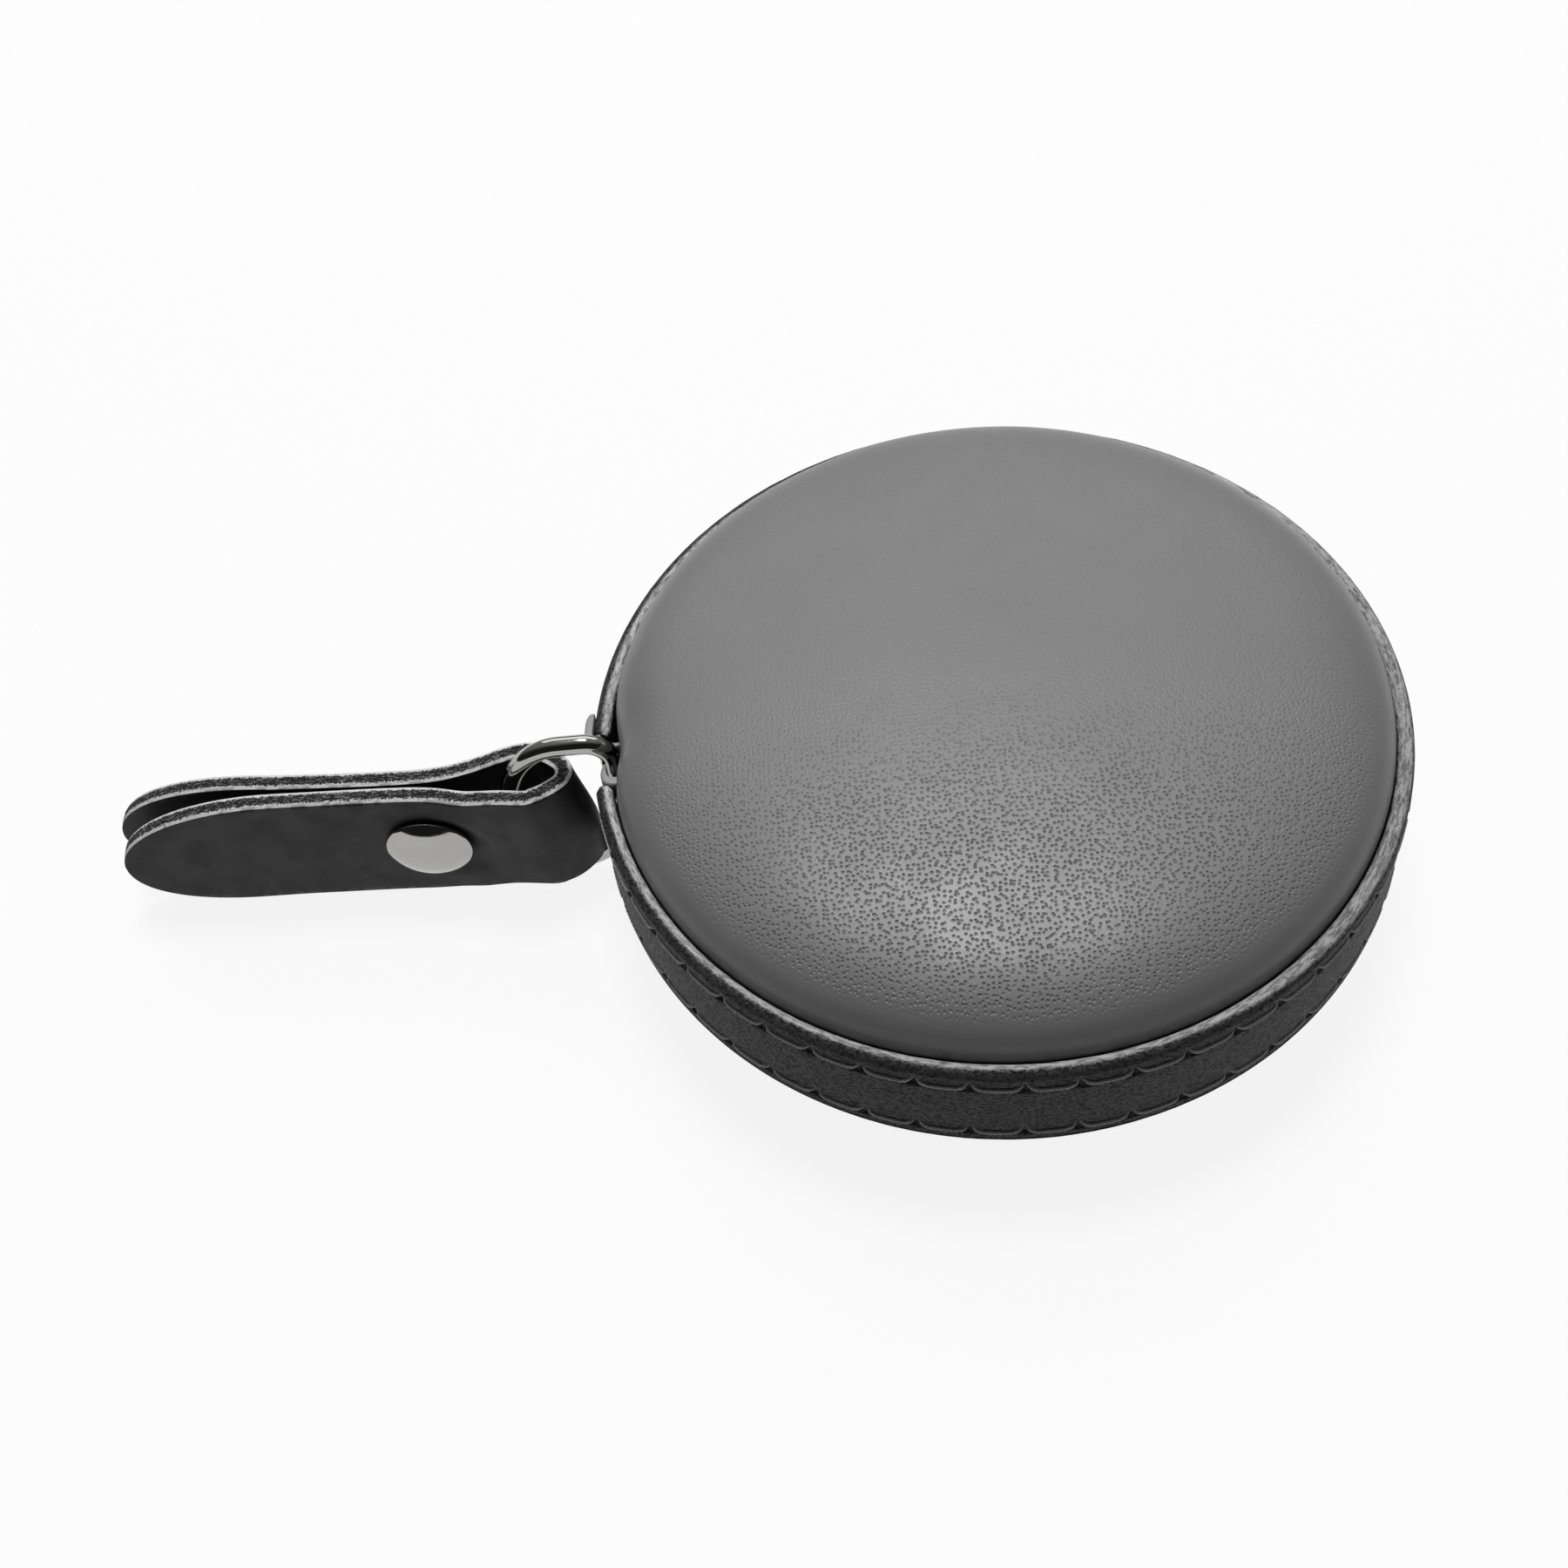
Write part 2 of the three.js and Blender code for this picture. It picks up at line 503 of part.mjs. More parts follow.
// Clip bent round the ring's bar, with two jaws on the tape's end
function tapeEnd() {
  const inner = WIRE_R + ARBOR_FIT;
  const outer = inner + CLIP_SHEET;
  const jawIn = TAPE_THICKNESS / 2 + ARBOR_FIT;
  const jawOut = jawIn + CLIP_SHEET;
  const outerStart = THREE.MathUtils.radToDeg(Math.asin(jawOut / outer));
  const innerStart = THREE.MathUtils.radToDeg(Math.asin(jawIn / inner));
  const outline = [
    [CLIP_END_X, jawOut],
    ...arc(BAR_X, 0, outer, outer, outerStart, 360 - outerStart, 14),
    [CLIP_END_X, -jawOut], [CLIP_END_X, -jawIn],
    ...arc(BAR_X, 0, inner, inner, 360 - innerStart, innerStart, 14),
    [CLIP_END_X, jawIn],
  ];
  add('tape_end_clip', upright(outline, -TAPE_HALF + ARBOR_FIT, TAPE_HALF - ARBOR_FIT), NICKEL, body);

  // The tape runs from the clip over the mouth's edge and lies against the coil at a tangent
  const start = BAR_X + inner + RUN;
  const bend = CLIP_END_X + LEAD_BEND;
  const reach = COIL_R + TAPE_THICKNESS + RUN;
  const turn = Math.acos(reach / -bend);
  const touch = [-reach * Math.cos(turn), -reach * Math.sin(turn)];
  const corner = new THREE.QuadraticBezierCurve(
    new THREE.Vector2(CLIP_END_X - LEAD_BEND_IN, 0),
    new THREE.Vector2(bend, 0),
    new THREE.Vector2(bend + (touch[0] - bend) * 0.14, touch[1] * 0.14),
  );
  const line = [[start, 0], ...corner.getPoints(6).map((p) => [p.x, p.y]), touch];
  add('tape_lead', upright(ribbon(line, TAPE_THICKNESS), -TAPE_HALF, TAPE_HALF), TAPE_CLOTH, body);
}

// D-ring of round wire: straight bar in the mouth, round side in the tab's loop
function ring() {
  const top = RING_TOP_REL;
  const bottom = RING_BOTTOM_REL;
  const middle = (top + bottom) / 2;
  const half = (top - bottom) / 2;
  const c = RING_CORNER;
  const outline = [
    [BAR_X, middle], [BAR_X, top - 2 * c],
    ...arc(BAR_X - c, top - c, c, c, 0, 90, 4),
    ...arc(RING_ARC_X, middle, RING_ARC_DEPTH, half, 90, 270, 14),
    ...arc(BAR_X - c, bottom + c, c, c, 270, 360, 4),
    [BAR_X, bottom + 2 * c],
  ];
  const points = outline.map(([x, z]) => new THREE.Vector3(x, 0, z));
  const path = new THREE.CatmullRomCurve3(points, true, 'centripetal');
  add('d_ring', closed(new THREE.TubeGeometry(path, 48, WIRE_R, 8, true)), NICKEL, body);
}

// Leather strip folded on the ring: plan of the loop and leaves, cut to its outline seen from the side
function pullTab() {
  const tab = new THREE.Group();
  tab.position.x = TAB_PIVOT_X;
  tab.rotation.z = TAB_YAW;
  body.add(tab);
  const local = (x) => x - TAB_PIVOT_X;

  const leafY = TAB_HALF_GAP + TAB_LEATHER / 2;
  const foldX = TAB_FOLD_X - TAB_LEATHER / 2;
  const tipStart = TAB_TIP_X + TAB_TIP_LENGTH;
  const top = TAB_TOP_REL;
  const bottom = TAB_BOTTOM_REL;
  const half = [
    [TAB_TIP_X - TAB_LEATHER, leafY + TAB_SPLAY], [tipStart, leafY + TAB_SPLAY * 0.2],
    [(tipStart + RIVET_X - RIVET_CAP_R) / 2, leafY], [RIVET_X, leafY],
    [(RIVET_X + TAB_LOOP_X) / 2, (leafY + TAB_LOOP_HALF) / 2], [TAB_LOOP_X, TAB_LOOP_HALF],
    ...TAB_FOLD_SHAPE.map(([run, width]) => [foldX + (TAB_LOOP_X - foldX) * run, TAB_LOOP_HALF * width]),
  ];
  const whole = [...half.map(([x, y]) => [x, -y]), [foldX, 0], ...half.slice().reverse()];
  const spine = new THREE.SplineCurve(whole.map(([x, y]) => new THREE.Vector2(local(x), y)));
  const plan = ribbon(spine.getPoints(64).map((p) => [p.x, p.y]), TAB_LEATHER);
  const strip = upright(plan, bottom - TAB_SAG - CUT_PAST, top + CUT_PAST);

  const middle = (top + bottom) / 2 - TAB_SAG;
  const reach = (top - bottom) / 2;
  const c = TAB_CORNER;
  const fold = local(TAB_FOLD_X) + TAB_CORNER_PAST;
  const knee = local(RIVET_X + RIVET_CAP_R);
  const aside = TAB_LOOP_HALF + TAB_SPLAY + TAB_LEATHER + CUT_PAST;
  const side = [
    ...arc(local(tipStart), middle, TAB_TIP_LENGTH, reach, 90, 270, 16),
    [knee, middle - reach + TAB_FOLD_RISE / 2],
    ...arc(fold - c, bottom + TAB_FOLD_RISE + c, c, c, 270, 360, 5),
    ...arc(fold - c * 0.4, top - c * 0.4, c * 0.4, c * 0.4, 0, 90, 3),
    [knee, middle + reach],
  ];
  const template = upright(side, -aside, aside).rotateX(Math.PI / 2);
  const rivetTool = (radius, from, to) => new THREE.CylinderGeometry(radius, radius, to - from, FINE)
    .translate(local(RIVET_X), (from + to) / 2, middle);
  const face = leafY + TAB_LEATHER / 2 + SEAT;
  const dish = RIVET_CAP_R + SEAT * 2;
  const leather = cut(common(strip, template), rivetTool(RIVET_HOLE_R, -aside, aside),
    rivetTool(dish, face - SEAT, aside), rivetTool(dish, -aside, SEAT - face));
  add('pull_tab', leather, LEATHER_TAB, tab);

  const crest = face + RIVET_CAP_H;
  const dome = arc(0, face + RIVET_BRIM, RIVET_CAP_R, RIVET_CAP_H - RIVET_BRIM, 0, 90, 5).slice(0, -1);
  const shank = face - RIVET_POST_SHORT;
  const front = [
    [0, -shank], [RIVET_POST_R, -shank], [RIVET_POST_R, face], [RIVET_CAP_R, face], ...dome, [0, crest],
  ];
  const rear = [[0, face], [RIVET_CAP_R, face], ...dome, [0, crest]];
  const seat = (outline, turn) =>
    turned(outline, FINE).rotateX(turn).translate(local(RIVET_X), 0, middle);
  add('rivet_cap', seat(front, Math.PI / 2), NICKEL, tab);
  add('rivet_back', seat(rear, -Math.PI / 2), NICKEL, tab);
}

covers();
sideBand();
seamThread('top_seam_thread', SEAM_REL);
seamThread('bottom_seam_thread', -SEAM_REL);
pad('top_pad', BUTTON_R + 2 * FIT, 0, 1);
pad('bottom_pad', 0, REST_FLAT_R, -1);
shells();
tapeMouth();
reel();
mainSpring();
button();
tapeEnd();
ring();
pullTab();

export default group;
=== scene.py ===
"""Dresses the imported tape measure: padded leather case, stitched band, ring, pull tab and what is inside.

Lengths are written in millimetres and become metres when a mesh is made. Heights named "rel" are counted
from the middle of the side band, which is Z0 above the resting surface. The tape leaves along -X, and the
photographed front is -Y. A pair of numbers is where a smooth change, an arc or a piece starts and ends.
"""

import math

import bmesh
import bpy
import numpy as np
from mathutils import Euler, Matrix, Vector, noise


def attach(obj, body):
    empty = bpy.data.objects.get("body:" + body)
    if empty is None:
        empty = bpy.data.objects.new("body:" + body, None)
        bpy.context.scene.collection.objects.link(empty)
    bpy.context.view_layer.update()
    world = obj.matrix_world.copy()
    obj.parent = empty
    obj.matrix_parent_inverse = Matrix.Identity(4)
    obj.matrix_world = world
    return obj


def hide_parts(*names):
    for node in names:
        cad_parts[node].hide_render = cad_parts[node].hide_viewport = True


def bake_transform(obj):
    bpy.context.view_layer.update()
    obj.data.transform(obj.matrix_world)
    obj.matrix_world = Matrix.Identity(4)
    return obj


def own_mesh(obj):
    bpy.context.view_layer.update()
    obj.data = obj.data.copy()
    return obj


MM = 0.001
WELD = 1e-8
SHARP = 40
BEVEL_ROWS = 4

# Case, as in the CAD model, with the domes a little fuller
CASE_R = 25.0
HALF_THICKNESS = 8.4
Z0 = HALF_THICKNESS
FIT = 0.3
LEATHER = 0.9
DOME_R = 23.85
GROOVE_REL = 3.5
CROWN = 1.6
SHOULDER_POWER = 8.5
SHOULDER_ROOT = 2.8
REST_FLAT_R = 9.0
FLANGE_R = 23.84
FLANGE_DEPTH = 2.3
FLANGE_ROUND = (0.07, 0.12)
LINING_EDGE_R = 22.7
LINING_TRIM = (0.1, 0.2)
CASE_STEPS = 288
DOME_STEPS = 110
LINING_STEPS = 90

# Unevenness of the covers, and the dents that the mouth and the ring's wire press into them
WAVE_LENGTH = 7.0
WAVE_HEIGHT = 0.045
WAVE_SINK = 0.6
WAVE_MARGIN = (1.5, 0.3)
MOUTH_DENT = {"depth": 0.5, "y": 0.0, "width": 3.0, "fade": (7.5, 6.0)}
WIRE_DENT = {"depth": 0.16, "y": -0.7, "width": 1.1, "fade": (6.4, 4.8)}
DENT_R = (19.0, 22.0)

# Side band, with its ends closer to the ring than in the CAD model
BAND_HALF_HEIGHT = 3.95
BAND_THICKNESS = 1.1
BAND_INNER_R = CASE_R - BAND_THICKNESS
BAND_OUTSIDE_REL = 3.45
BAND_INSIDE_REL = 3.2
BAND_SWELL = 0.05
BAND_ROWS = 86
BAND_STEPS = 1000
BAND_FAR_Y = 1.3
BAND_NEAR_Y = -2.75
BAND_END = 0.35
BAND_END_THINNER = 0.28
BAND_END_LOWER = 0.03
BEAD_HEIGHT = 0.5
BEAD_INSET = 0.02
BEAD_REL = (3.3, 3.7)
BEAD_SINK = 0.03
BEAD_WAVES = ((0.022, 0.9, 1.0), (0.0132, 0.35, 5.0))

# Seams
SEAM_REL = 2.55
SEAM_MARGIN = 4.1 / CASE_R
SEAM_CHANNEL = 0.16
SEAM_CHANNEL_HALF = (0.1, 0.34)
STITCH_PITCH = 3.1
STITCH_SAG = 0.34
STITCH_SAG_SHARE = 0.26
STITCH_DEPTH = 0.34
STITCH_RISE = 0.31
STITCH_RISE_SHARE = 0.1
STITCH_INSET_SHARE = 0.02
STITCH_STEPS = 22
STRANDS = 3
STRAND_R = 0.065
STRAND_OFFSET = 0.045
STRAND_TWISTS = 3.4
HOLE_DEPTH = 0.3
HOLE_SIZE = (0.11, 0.15)
PULL_DEPTH = 0.04
PULL_SIZE = (0.5, 0.45)
PULL_REACH = 1.2

# Mouthpiece
MOUTH_HALF_GAP = 3.2
MOUTH_HALF_HEIGHT = 3.85
MOUTH_BACK = -22.35
MOUTH_FACE = -23.2
MOUTH_ROOT = MOUTH_FACE + 0.3
NOTCH_X = (-26.0, -20.7)
NOTCH_MARGIN = 0.2
PLATE_HALF = 2.9
PLATE_TOP_REL = 3.3
PLATE_BEVEL = 0.16
SLOT_HALF_WIDTH = 0.8
SLOT_HALF_HEIGHT = 3.35
SLOT_PAST = 0.5
SLOT_BEVEL = 0.02
LIP_WALL = 0.3
FAR_LIP_Y = 0.95
FAR_LIP_PROUD = 0.55
FAR_LIP_END_PROUD = 0.2
FAR_LIP_TURN_Y = 2.1
FAR_LIP_END_Y = 2.95
FAR_WALL_X = -24.85
FAR_WALL_LIFT = 0.2
FAR_WALL_TOP_REL = 2.9
WALL_BEVEL = 0.08
EAR_ROOT_X = -24.5
EAR_GAP = 0.04
EAR_LOW_REL = 2.3
EAR_LAP = 0.02
EAR_BEVEL = 0.07
NEAR_LIP_REL = 2.2
COLLAR_BEVEL = 0.14
COLLAR_OUTSIDE = ((-22.9, -2.68), (-23.85, -2.68), (-24.36, -2.4), (-24.5, -1.75), (-24.36, -1.15))
COLLAR_INSIDE = ((-24.26, -1.02), (-24.15, -1.1), (-24.12, -1.6), (-23.9, -2.02), (-22.9, -2.08))
KNOB_R = 0.36
KNOB_AT = (-24.82, -2.37, 0.1)
ARM_X = -24.8
ARM_Y = (-2.65, -2.3)
ARM_REL = (-0.15, 0.35)
ARM_BEVEL = 0.05

# Mechanism
LID_REL = 4.6
SHELL_INNER_R = 21.1
PAD_GAP = 0.15
PAD_EDGE = 0.1
PAD_LIP = 0.18
PAD_TRIM = 0.2
BUTTON_R = 6.0
FELT_REL = (1.8, 2.5)
FELT_BORE = 3.4
FELT_R = 11.2
FELT_SOFT = 0.12
SPRING_R = 2.44
SPRING_WIRE_R = 0.18
SPRING_TURNS = 5
SPRING_LOW_Z = 9.66
SPRING_HIGH_Z = 13.84
ROUND_STEPS = 96

# Ring and clip
WIRE_R = 0.625
BAR_X = -24.0
RING_TOP_REL = 4.6
RING_BOTTOM_REL = -7.7
RING_CORNER = 1.6
RING_LOW_CORNER = 4.2
RING_LOW_STRAIGHT = 0.8
RING_ARC_X = -27.0
RING_ARC_DEPTH = 4.0
RING_ARC = (90, 245)
RING_LOW_ARC = (283, 360)
RING_STEPS = 360
CLIP_END_X = -22.4
CLIP_SHEET = 0.16
CLIP_PLAY = 0.12
CLIP_LOOP_TOP_REL = -1.4
CLIP_WIDENS = (0.35, 0.95)
JAW_PLAY = 0.1

# Tape
TAPE_HALF = 3.2
TAPE_THICKNESS = 0.3
TAPE_TURNS = 14
TAPE_TURN_STEPS = 72
TAPE_OUT = 1500.0
COIL_R = 19.5
COIL_INNER_R = 14.85
COIL_PLAY = 0.01
LEAD_PLAY = 0.02
LEAD_EDGE_PLAY = 0.05
LEAD_R = COIL_R + TAPE_THICKNESS + 0.15
LEAD_BEND_X = CLIP_END_X + 0.9
LEAD_BEND_START_X = CLIP_END_X - 0.3
LEAD_BEND_SHARE = 0.14
LEAD_TIP_X = -23.22
LEAD_DRAWN_X = -23.15
LEAD_HELD_X = -22.75
LEAD_ROWS = 420

# Tab
TAB_LEATHER = 1.1
TAB_TOP_REL = 2.45
TAB_BOTTOM_REL = -7.3
TAB_FOLD_X = -26.2
TAB_TIP_X = -56.7
TAB_TIP_LENGTH = 8.5
TAB_TIP_POWER = 2.3
TAB_TOP_TIP_LENGTH = 10.5
TAB_TOP_TIP_POWER = 2
TAB_NOSE = 0.44
TAB_BACK_PAST = 0.6
TAB_CORNER = 3.3
TAB_TOP_CORNER = 1.32
TAB_CORNER_PAST = 0.5
TAB_LOW_DROP = 0.85
TAB_LOW_RISE = 0.6
TAB_LOW_RISE_X = (-37.5, -29.5)
TAB_LEAN_TOP = -0.35
TAB_LEAN_LOW = 0.7
TAB_LEAN_REL = (3.45, -3.6)
TAB_HALF_GAP = 0.15
TAB_SPLAY = 0.5
TAB_BACK_SPLAY = 0.9
TAB_SPLAY_AT_TURN = 0.2
TAB_LOOP_HALF = 1.86
TAB_LOOP_X = -29.6
TAB_FOLD_SHAPE = ((0.67, 0.9), (0.44, 0.745), (0.25, 0.56), (0.1, 0.375), (0.03, 0.21))
TAB_PIVOT_X = -30.0
TAB_YAW = math.radians(-3)
TAB_SAG = 0.5
TAB_OFFSET_Y = -0.12
TAB_LEAF_OFFSET_Y = -0.3
TAB_OFFSET_X = (-31.0, -34.5)
TAB_CUT_ROUND = 0.12
TAB_FRAY = ((0.05, 0.45, 2.0), (0.04, 0.2, 8.0))
TAB_ROWS = 420
TAB_ROWS_EASED = 0.62
TAB_FACE_STEPS = 26
TAB_EDGE_STEPS = 7
TAB_SHARP = 60

# Rivet
RIVET_X = -36.5
RIVET_REL = -3.05
RIVET_CAP_R = 2.8
RIVET_CAP_H = 1.25
RIVET_BRIM = 0.2
RIVET_POST_R = 0.9
RIVET_POST_END = -0.7
RIVET_POST_ROUND = 0.1
RIVET_HOLE_R = 1.1
RIVET_HOLE_HALF = 4.0
RIVET_FACE = 1.3
RIVET_BITE = 0.06
RIVET_DIMPLE_MARGIN = 0.15
RIVET_DIMPLE_SLOPE = 0.55
RIVET_STEPS = 72

# Stage, and the camera as fitted to the photographed rim circles
FLOOR_HALF = 4000.0
FLOOR_Z = -0.02
FLOOR_TONE = 0.86
FLOOR_LIFT = 0.88
FLOOR_BOUNCE = 0.35
ROOM_DARK = 0.02
ROOM_PALE = 0.28
ROOM_PALE_TOWARDS = (0.0, 0.6, 0.55)
ROOM_CHANGE = (0.1, 0.6)
ROOM_SHOWN = 0.95
LAMP_AIM = (0, 0, 10)
CAMERA_LENS = 48.486
CAMERA_SENSOR = 36.0
CAMERA_NEAR = 5.0
CAMERA_AT = (-8.41628, -78.85111, 107.30093 + Z0)
CAMERA_TURN = (35.7585, 4.672, -2.7531)

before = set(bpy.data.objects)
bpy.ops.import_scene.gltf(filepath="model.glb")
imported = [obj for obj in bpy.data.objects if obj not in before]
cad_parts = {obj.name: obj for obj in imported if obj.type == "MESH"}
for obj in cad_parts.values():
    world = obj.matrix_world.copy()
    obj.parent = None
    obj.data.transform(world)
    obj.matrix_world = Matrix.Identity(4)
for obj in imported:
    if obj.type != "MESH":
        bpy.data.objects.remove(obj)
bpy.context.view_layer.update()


# Meshes

def ring_faces(rows, cols, closed=False):
    """Quads between rings of cols points. The last ring joins the first, or both are capped."""
    faces = []
    for i in range(rows if closed else rows - 1):
        k = (i + 1) % rows
        for j in range(cols):
            n = (j + 1) % cols
            faces.append((i * cols + j, i * cols + n, k * cols + n, k * cols + j))
    if not closed:
        faces += [tuple(range(cols)), tuple(range((rows - 1) * cols, rows * cols))]
    return faces


def make(name, points, faces, sharp=SHARP):
    """A smooth-shaded mesh object from points in millimetres, without doubled points or bare edges."""
    mesh = bpy.data.meshes.new(name)
    mesh.from_pydata((np.asarray(points, float) * MM).tolist(), [], faces)
    edit = bmesh.new()
    edit.from_mesh(mesh)
    bmesh.ops.remove_doubles(edit, verts=edit.verts, dist=WELD)
    bmesh.ops.delete(edit, geom=[edge for edge in edit.edges if edge.is_wire], context="EDGES")
    bmesh.ops.recalc_face_normals(edit, faces=edit.faces)
    edit.to_mesh(mesh)
    edit.free()
    finish_shading(mesh, sharp)
    piece = bpy.data.objects.new(name, mesh)
    bpy.context.scene.collection.objects.link(piece)
    return piece


def finish_shading(mesh, sharp):
    mesh.shade_smooth()
    mesh.set_sharp_from_angle(angle=math.radians(sharp))


def keep_values(piece, name, values):
    """Keeps a number for each point of a piece, for its material to read."""
    layer = piece.data.attributes.new(name, "FLOAT", "POINT")
    layer.data.foreach_set("value", np.asarray(values, np.float32))


def dress(piece, material, body, slot, *nodes):
    """Gives a piece its material and body, and lets it stand for CAD nodes. The slot argument is not used."""
    if not piece.data.materials:
        piece.data.materials.append(material)
    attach(piece, body)
    if nodes:
        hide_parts(*nodes)
    return piece


def carve(piece, cutter, operation="DIFFERENCE", sharp=SHARP):
    """Cuts or joins another closed object into a piece, removes it and fills any sliver left open."""
    step = piece.modifiers.new("carve", "BOOLEAN")
    step.object = cutter
    step.operation = operation
    step.solver = "EXACT"
    depsgraph = bpy.context.evaluated_depsgraph_get()
    mesh = bpy.data.meshes.new_from_object(piece.evaluated_get(depsgraph))
    piece.modifiers.clear()
    piece.data = mesh
    edit = bmesh.new()
    edit.from_mesh(mesh)
    bmesh.ops.holes_fill(edit, edges=[edge for edge in edit.edges if edge.is_boundary])
    edit.to_mesh(mesh)
    edit.free()
    finish_shading(mesh, sharp)
    bpy.data.objects.remove(cutter)
    return piece


def lathe(name, profile, segments, bend=None):
    """A body turned about Z from a closed profile of (radius, rel height); bend may move the points."""
    profile = np.asarray(profile, float)
    turn = np.linspace(0, 2 * math.pi, segments, endpoint=False)[:, None]
    points = np.stack([np.cos(turn) * profile[:, 0], np.sin(turn) * profile[:, 0],
                       np.ones_like(turn) * profile[:, 1] + Z0], -1).reshape(-1, 3)
    if bend is not None:
        points = bend(points)
    return make(name, points, ring_faces(segments, len(profile), True))


def prism(name, outline, low, high, bevel):
    """An upright body over a plan outline, with its upper and lower edges rounded."""
    outline = np.asarray(outline, float)
    ahead = np.roll(outline, -1, 0) - outline
    behind = outline - np.roll(outline, 1, 0)
    along = ahead / np.linalg.norm(ahead, axis=1)[:, None] + behind / np.linalg.norm(behind, axis=1)[:, None]
    inward = np.stack([-along[:, 1], along[:, 0]], -1)
    inward /= np.linalg.norm(inward, axis=1)[:, None]
    x, y = outline.T
    if np.sum(x * np.roll(y, -1) - y * np.roll(x, -1)) < 0:
        inward = -inward
    rows = []
    for angle in np.linspace(0, math.pi / 2, BEVEL_ROWS):
        inset = bevel * (1 - math.sin(angle))
        rows.append((low + bevel * (1 - math.cos(angle)), inset))
    levels = rows + [(low + high - z, inset) for z, inset in reversed(rows)]
    points = [[*(p + q * inset), z + Z0] for z, inset in levels for p, q in zip(outline, inward)]
    return make(name, points, ring_faces(len(levels), len(outline)))


def tube_mesh(path, radius, sides, closed=False):
    """Points and faces of a round tube along a path, with its frame carried along without twist."""
    path = np.asarray(path, float)
    count = len(path)
    if closed:
        tangent = np.roll(path, -1, 0) - np.roll(path, 1, 0)
    else:
        tangent = np.gradient(path, axis=0)
    tangent /= np.linalg.norm(tangent, axis=1)[:, None]
    side = np.cross(tangent[0], [0.0, 1.0, 0.0])
    if np.linalg.norm(side) < 0.1:
        side = np.cross(tangent[0], [0.0, 0.0, 1.0])
    angle = np.linspace(0, 2 * math.pi, sides, endpoint=False)
    points = []
    for i in range(count):
        side = side - tangent[i] * np.dot(side, tangent[i])
        side /= np.linalg.norm(side)
        other = np.cross(tangent[i], side)
        points.extend(path[i] + radius * (math.cos(a) * side + math.sin(a) * other) for a in angle)
    return points, ring_faces(count, sides, closed)


def rectangle(x0, x1, y0, y1):
    return [[x0, y0], [x1, y0], [x1, y1], [x0, y1]]


def arc(cx, cy, rx, ry, start, end, steps):
    angle = np.radians(np.linspace(start, end, steps + 1))
    return np.stack([cx + rx * np.cos(angle), cy + ry * np.sin(angle)], -1)


def spline(points, steps):
    """Catmull-Rom curve through points, evenly divided between them."""
    points = np.asarray(points, float)
    last = len(points) - 1
    where = np.linspace(0, last, steps)
    first = np.minimum(where.astype(int), last - 1)
    t = (where - first)[:, None]
    p0 = points[np.maximum(first - 1, 0)]
    p1 = points[first]
    p2 = points[first + 1]
    p3 = points[np.minimum(first + 2, last)]
    v0 = (p2 - p0) / 2
    v1 = (p3 - p1) / 2
    return (2 * p1 - 2 * p2 + v0 + v1) * t ** 3 + (-3 * p1 + 3 * p2 - 2 * v0 - v1) * t ** 2 + v0 * t + p1


def at_shares(line, shares):
    """Points of a plan line at shares of its length."""
    length = np.concatenate([[0], np.cumsum(np.linalg.norm(np.diff(line, axis=0), axis=1))])
    where = shares * length[-1]
    return np.stack([np.interp(where, length, line[:, 0]), np.interp(where, length, line[:, 1])], -1)


def square_to(line):
    """Unit vectors square to a plan line, on its left."""
    along = np.gradient(line, axis=0)
    along /= np.linalg.norm(along, axis=1)[:, None]
    return np.stack([-along[:, 1], along[:, 0]], -1)


def smooth(low, high, value):
    t = np.clip((value - low) / (high - low), 0, 1)
    return t * t * (3 - 2 * t)


def wavy(points, size, seed):
    """Smooth noise from -1 to 1 at points in millimetres; size is the length of a wave."""
    return np.array([noise.noise(Vector(p) / size + Vector((seed, 0, 0))) for p in points])


def rough(points, waves):
    """Sum of waves, each given as its height, size and seed."""
    return sum(height * wavy(points, size, seed) for height, size, seed in waves)


# Materials

class Nodes:
    """Builds a node tree, node by node."""

    def __init__(self, tree):
        self.tree = tree

    def node(self, kind, inputs=None, **settings):
        made = self.tree.nodes.new(kind)
        for key, value in settings.items():
            setattr(made, key, value)
        for key, value in (inputs or {}).items():
            self.feed(made.inputs[key], value)
        return made

    def feed(self, socket, value):
        if isinstance(value, bpy.types.NodeSocket):
            self.tree.links.new(value, socket)
        else:
            socket.default_value = value

    def math(self, operation, a, b=0.0):
        return self.node("ShaderNodeMath", {0: a, 1: b}, operation=operation).outputs[0]

    def plus(self, a, b):
        return self.math("ADD", a, b)

    def minus(self, a, b):
        return self.math("SUBTRACT", a, b)

    def times(self, a, b):
        return self.math("MULTIPLY", a, b)

    def range(self, value, low, high, to_low=0.0, to_high=1.0):
        inputs = {"Value": value, "From Min": low, "From Max": high, "To Min": to_low, "To Max": to_high}
        return self.node("ShaderNodeMapRange", inputs, interpolation_type="SMOOTHSTEP").outputs["Result"]


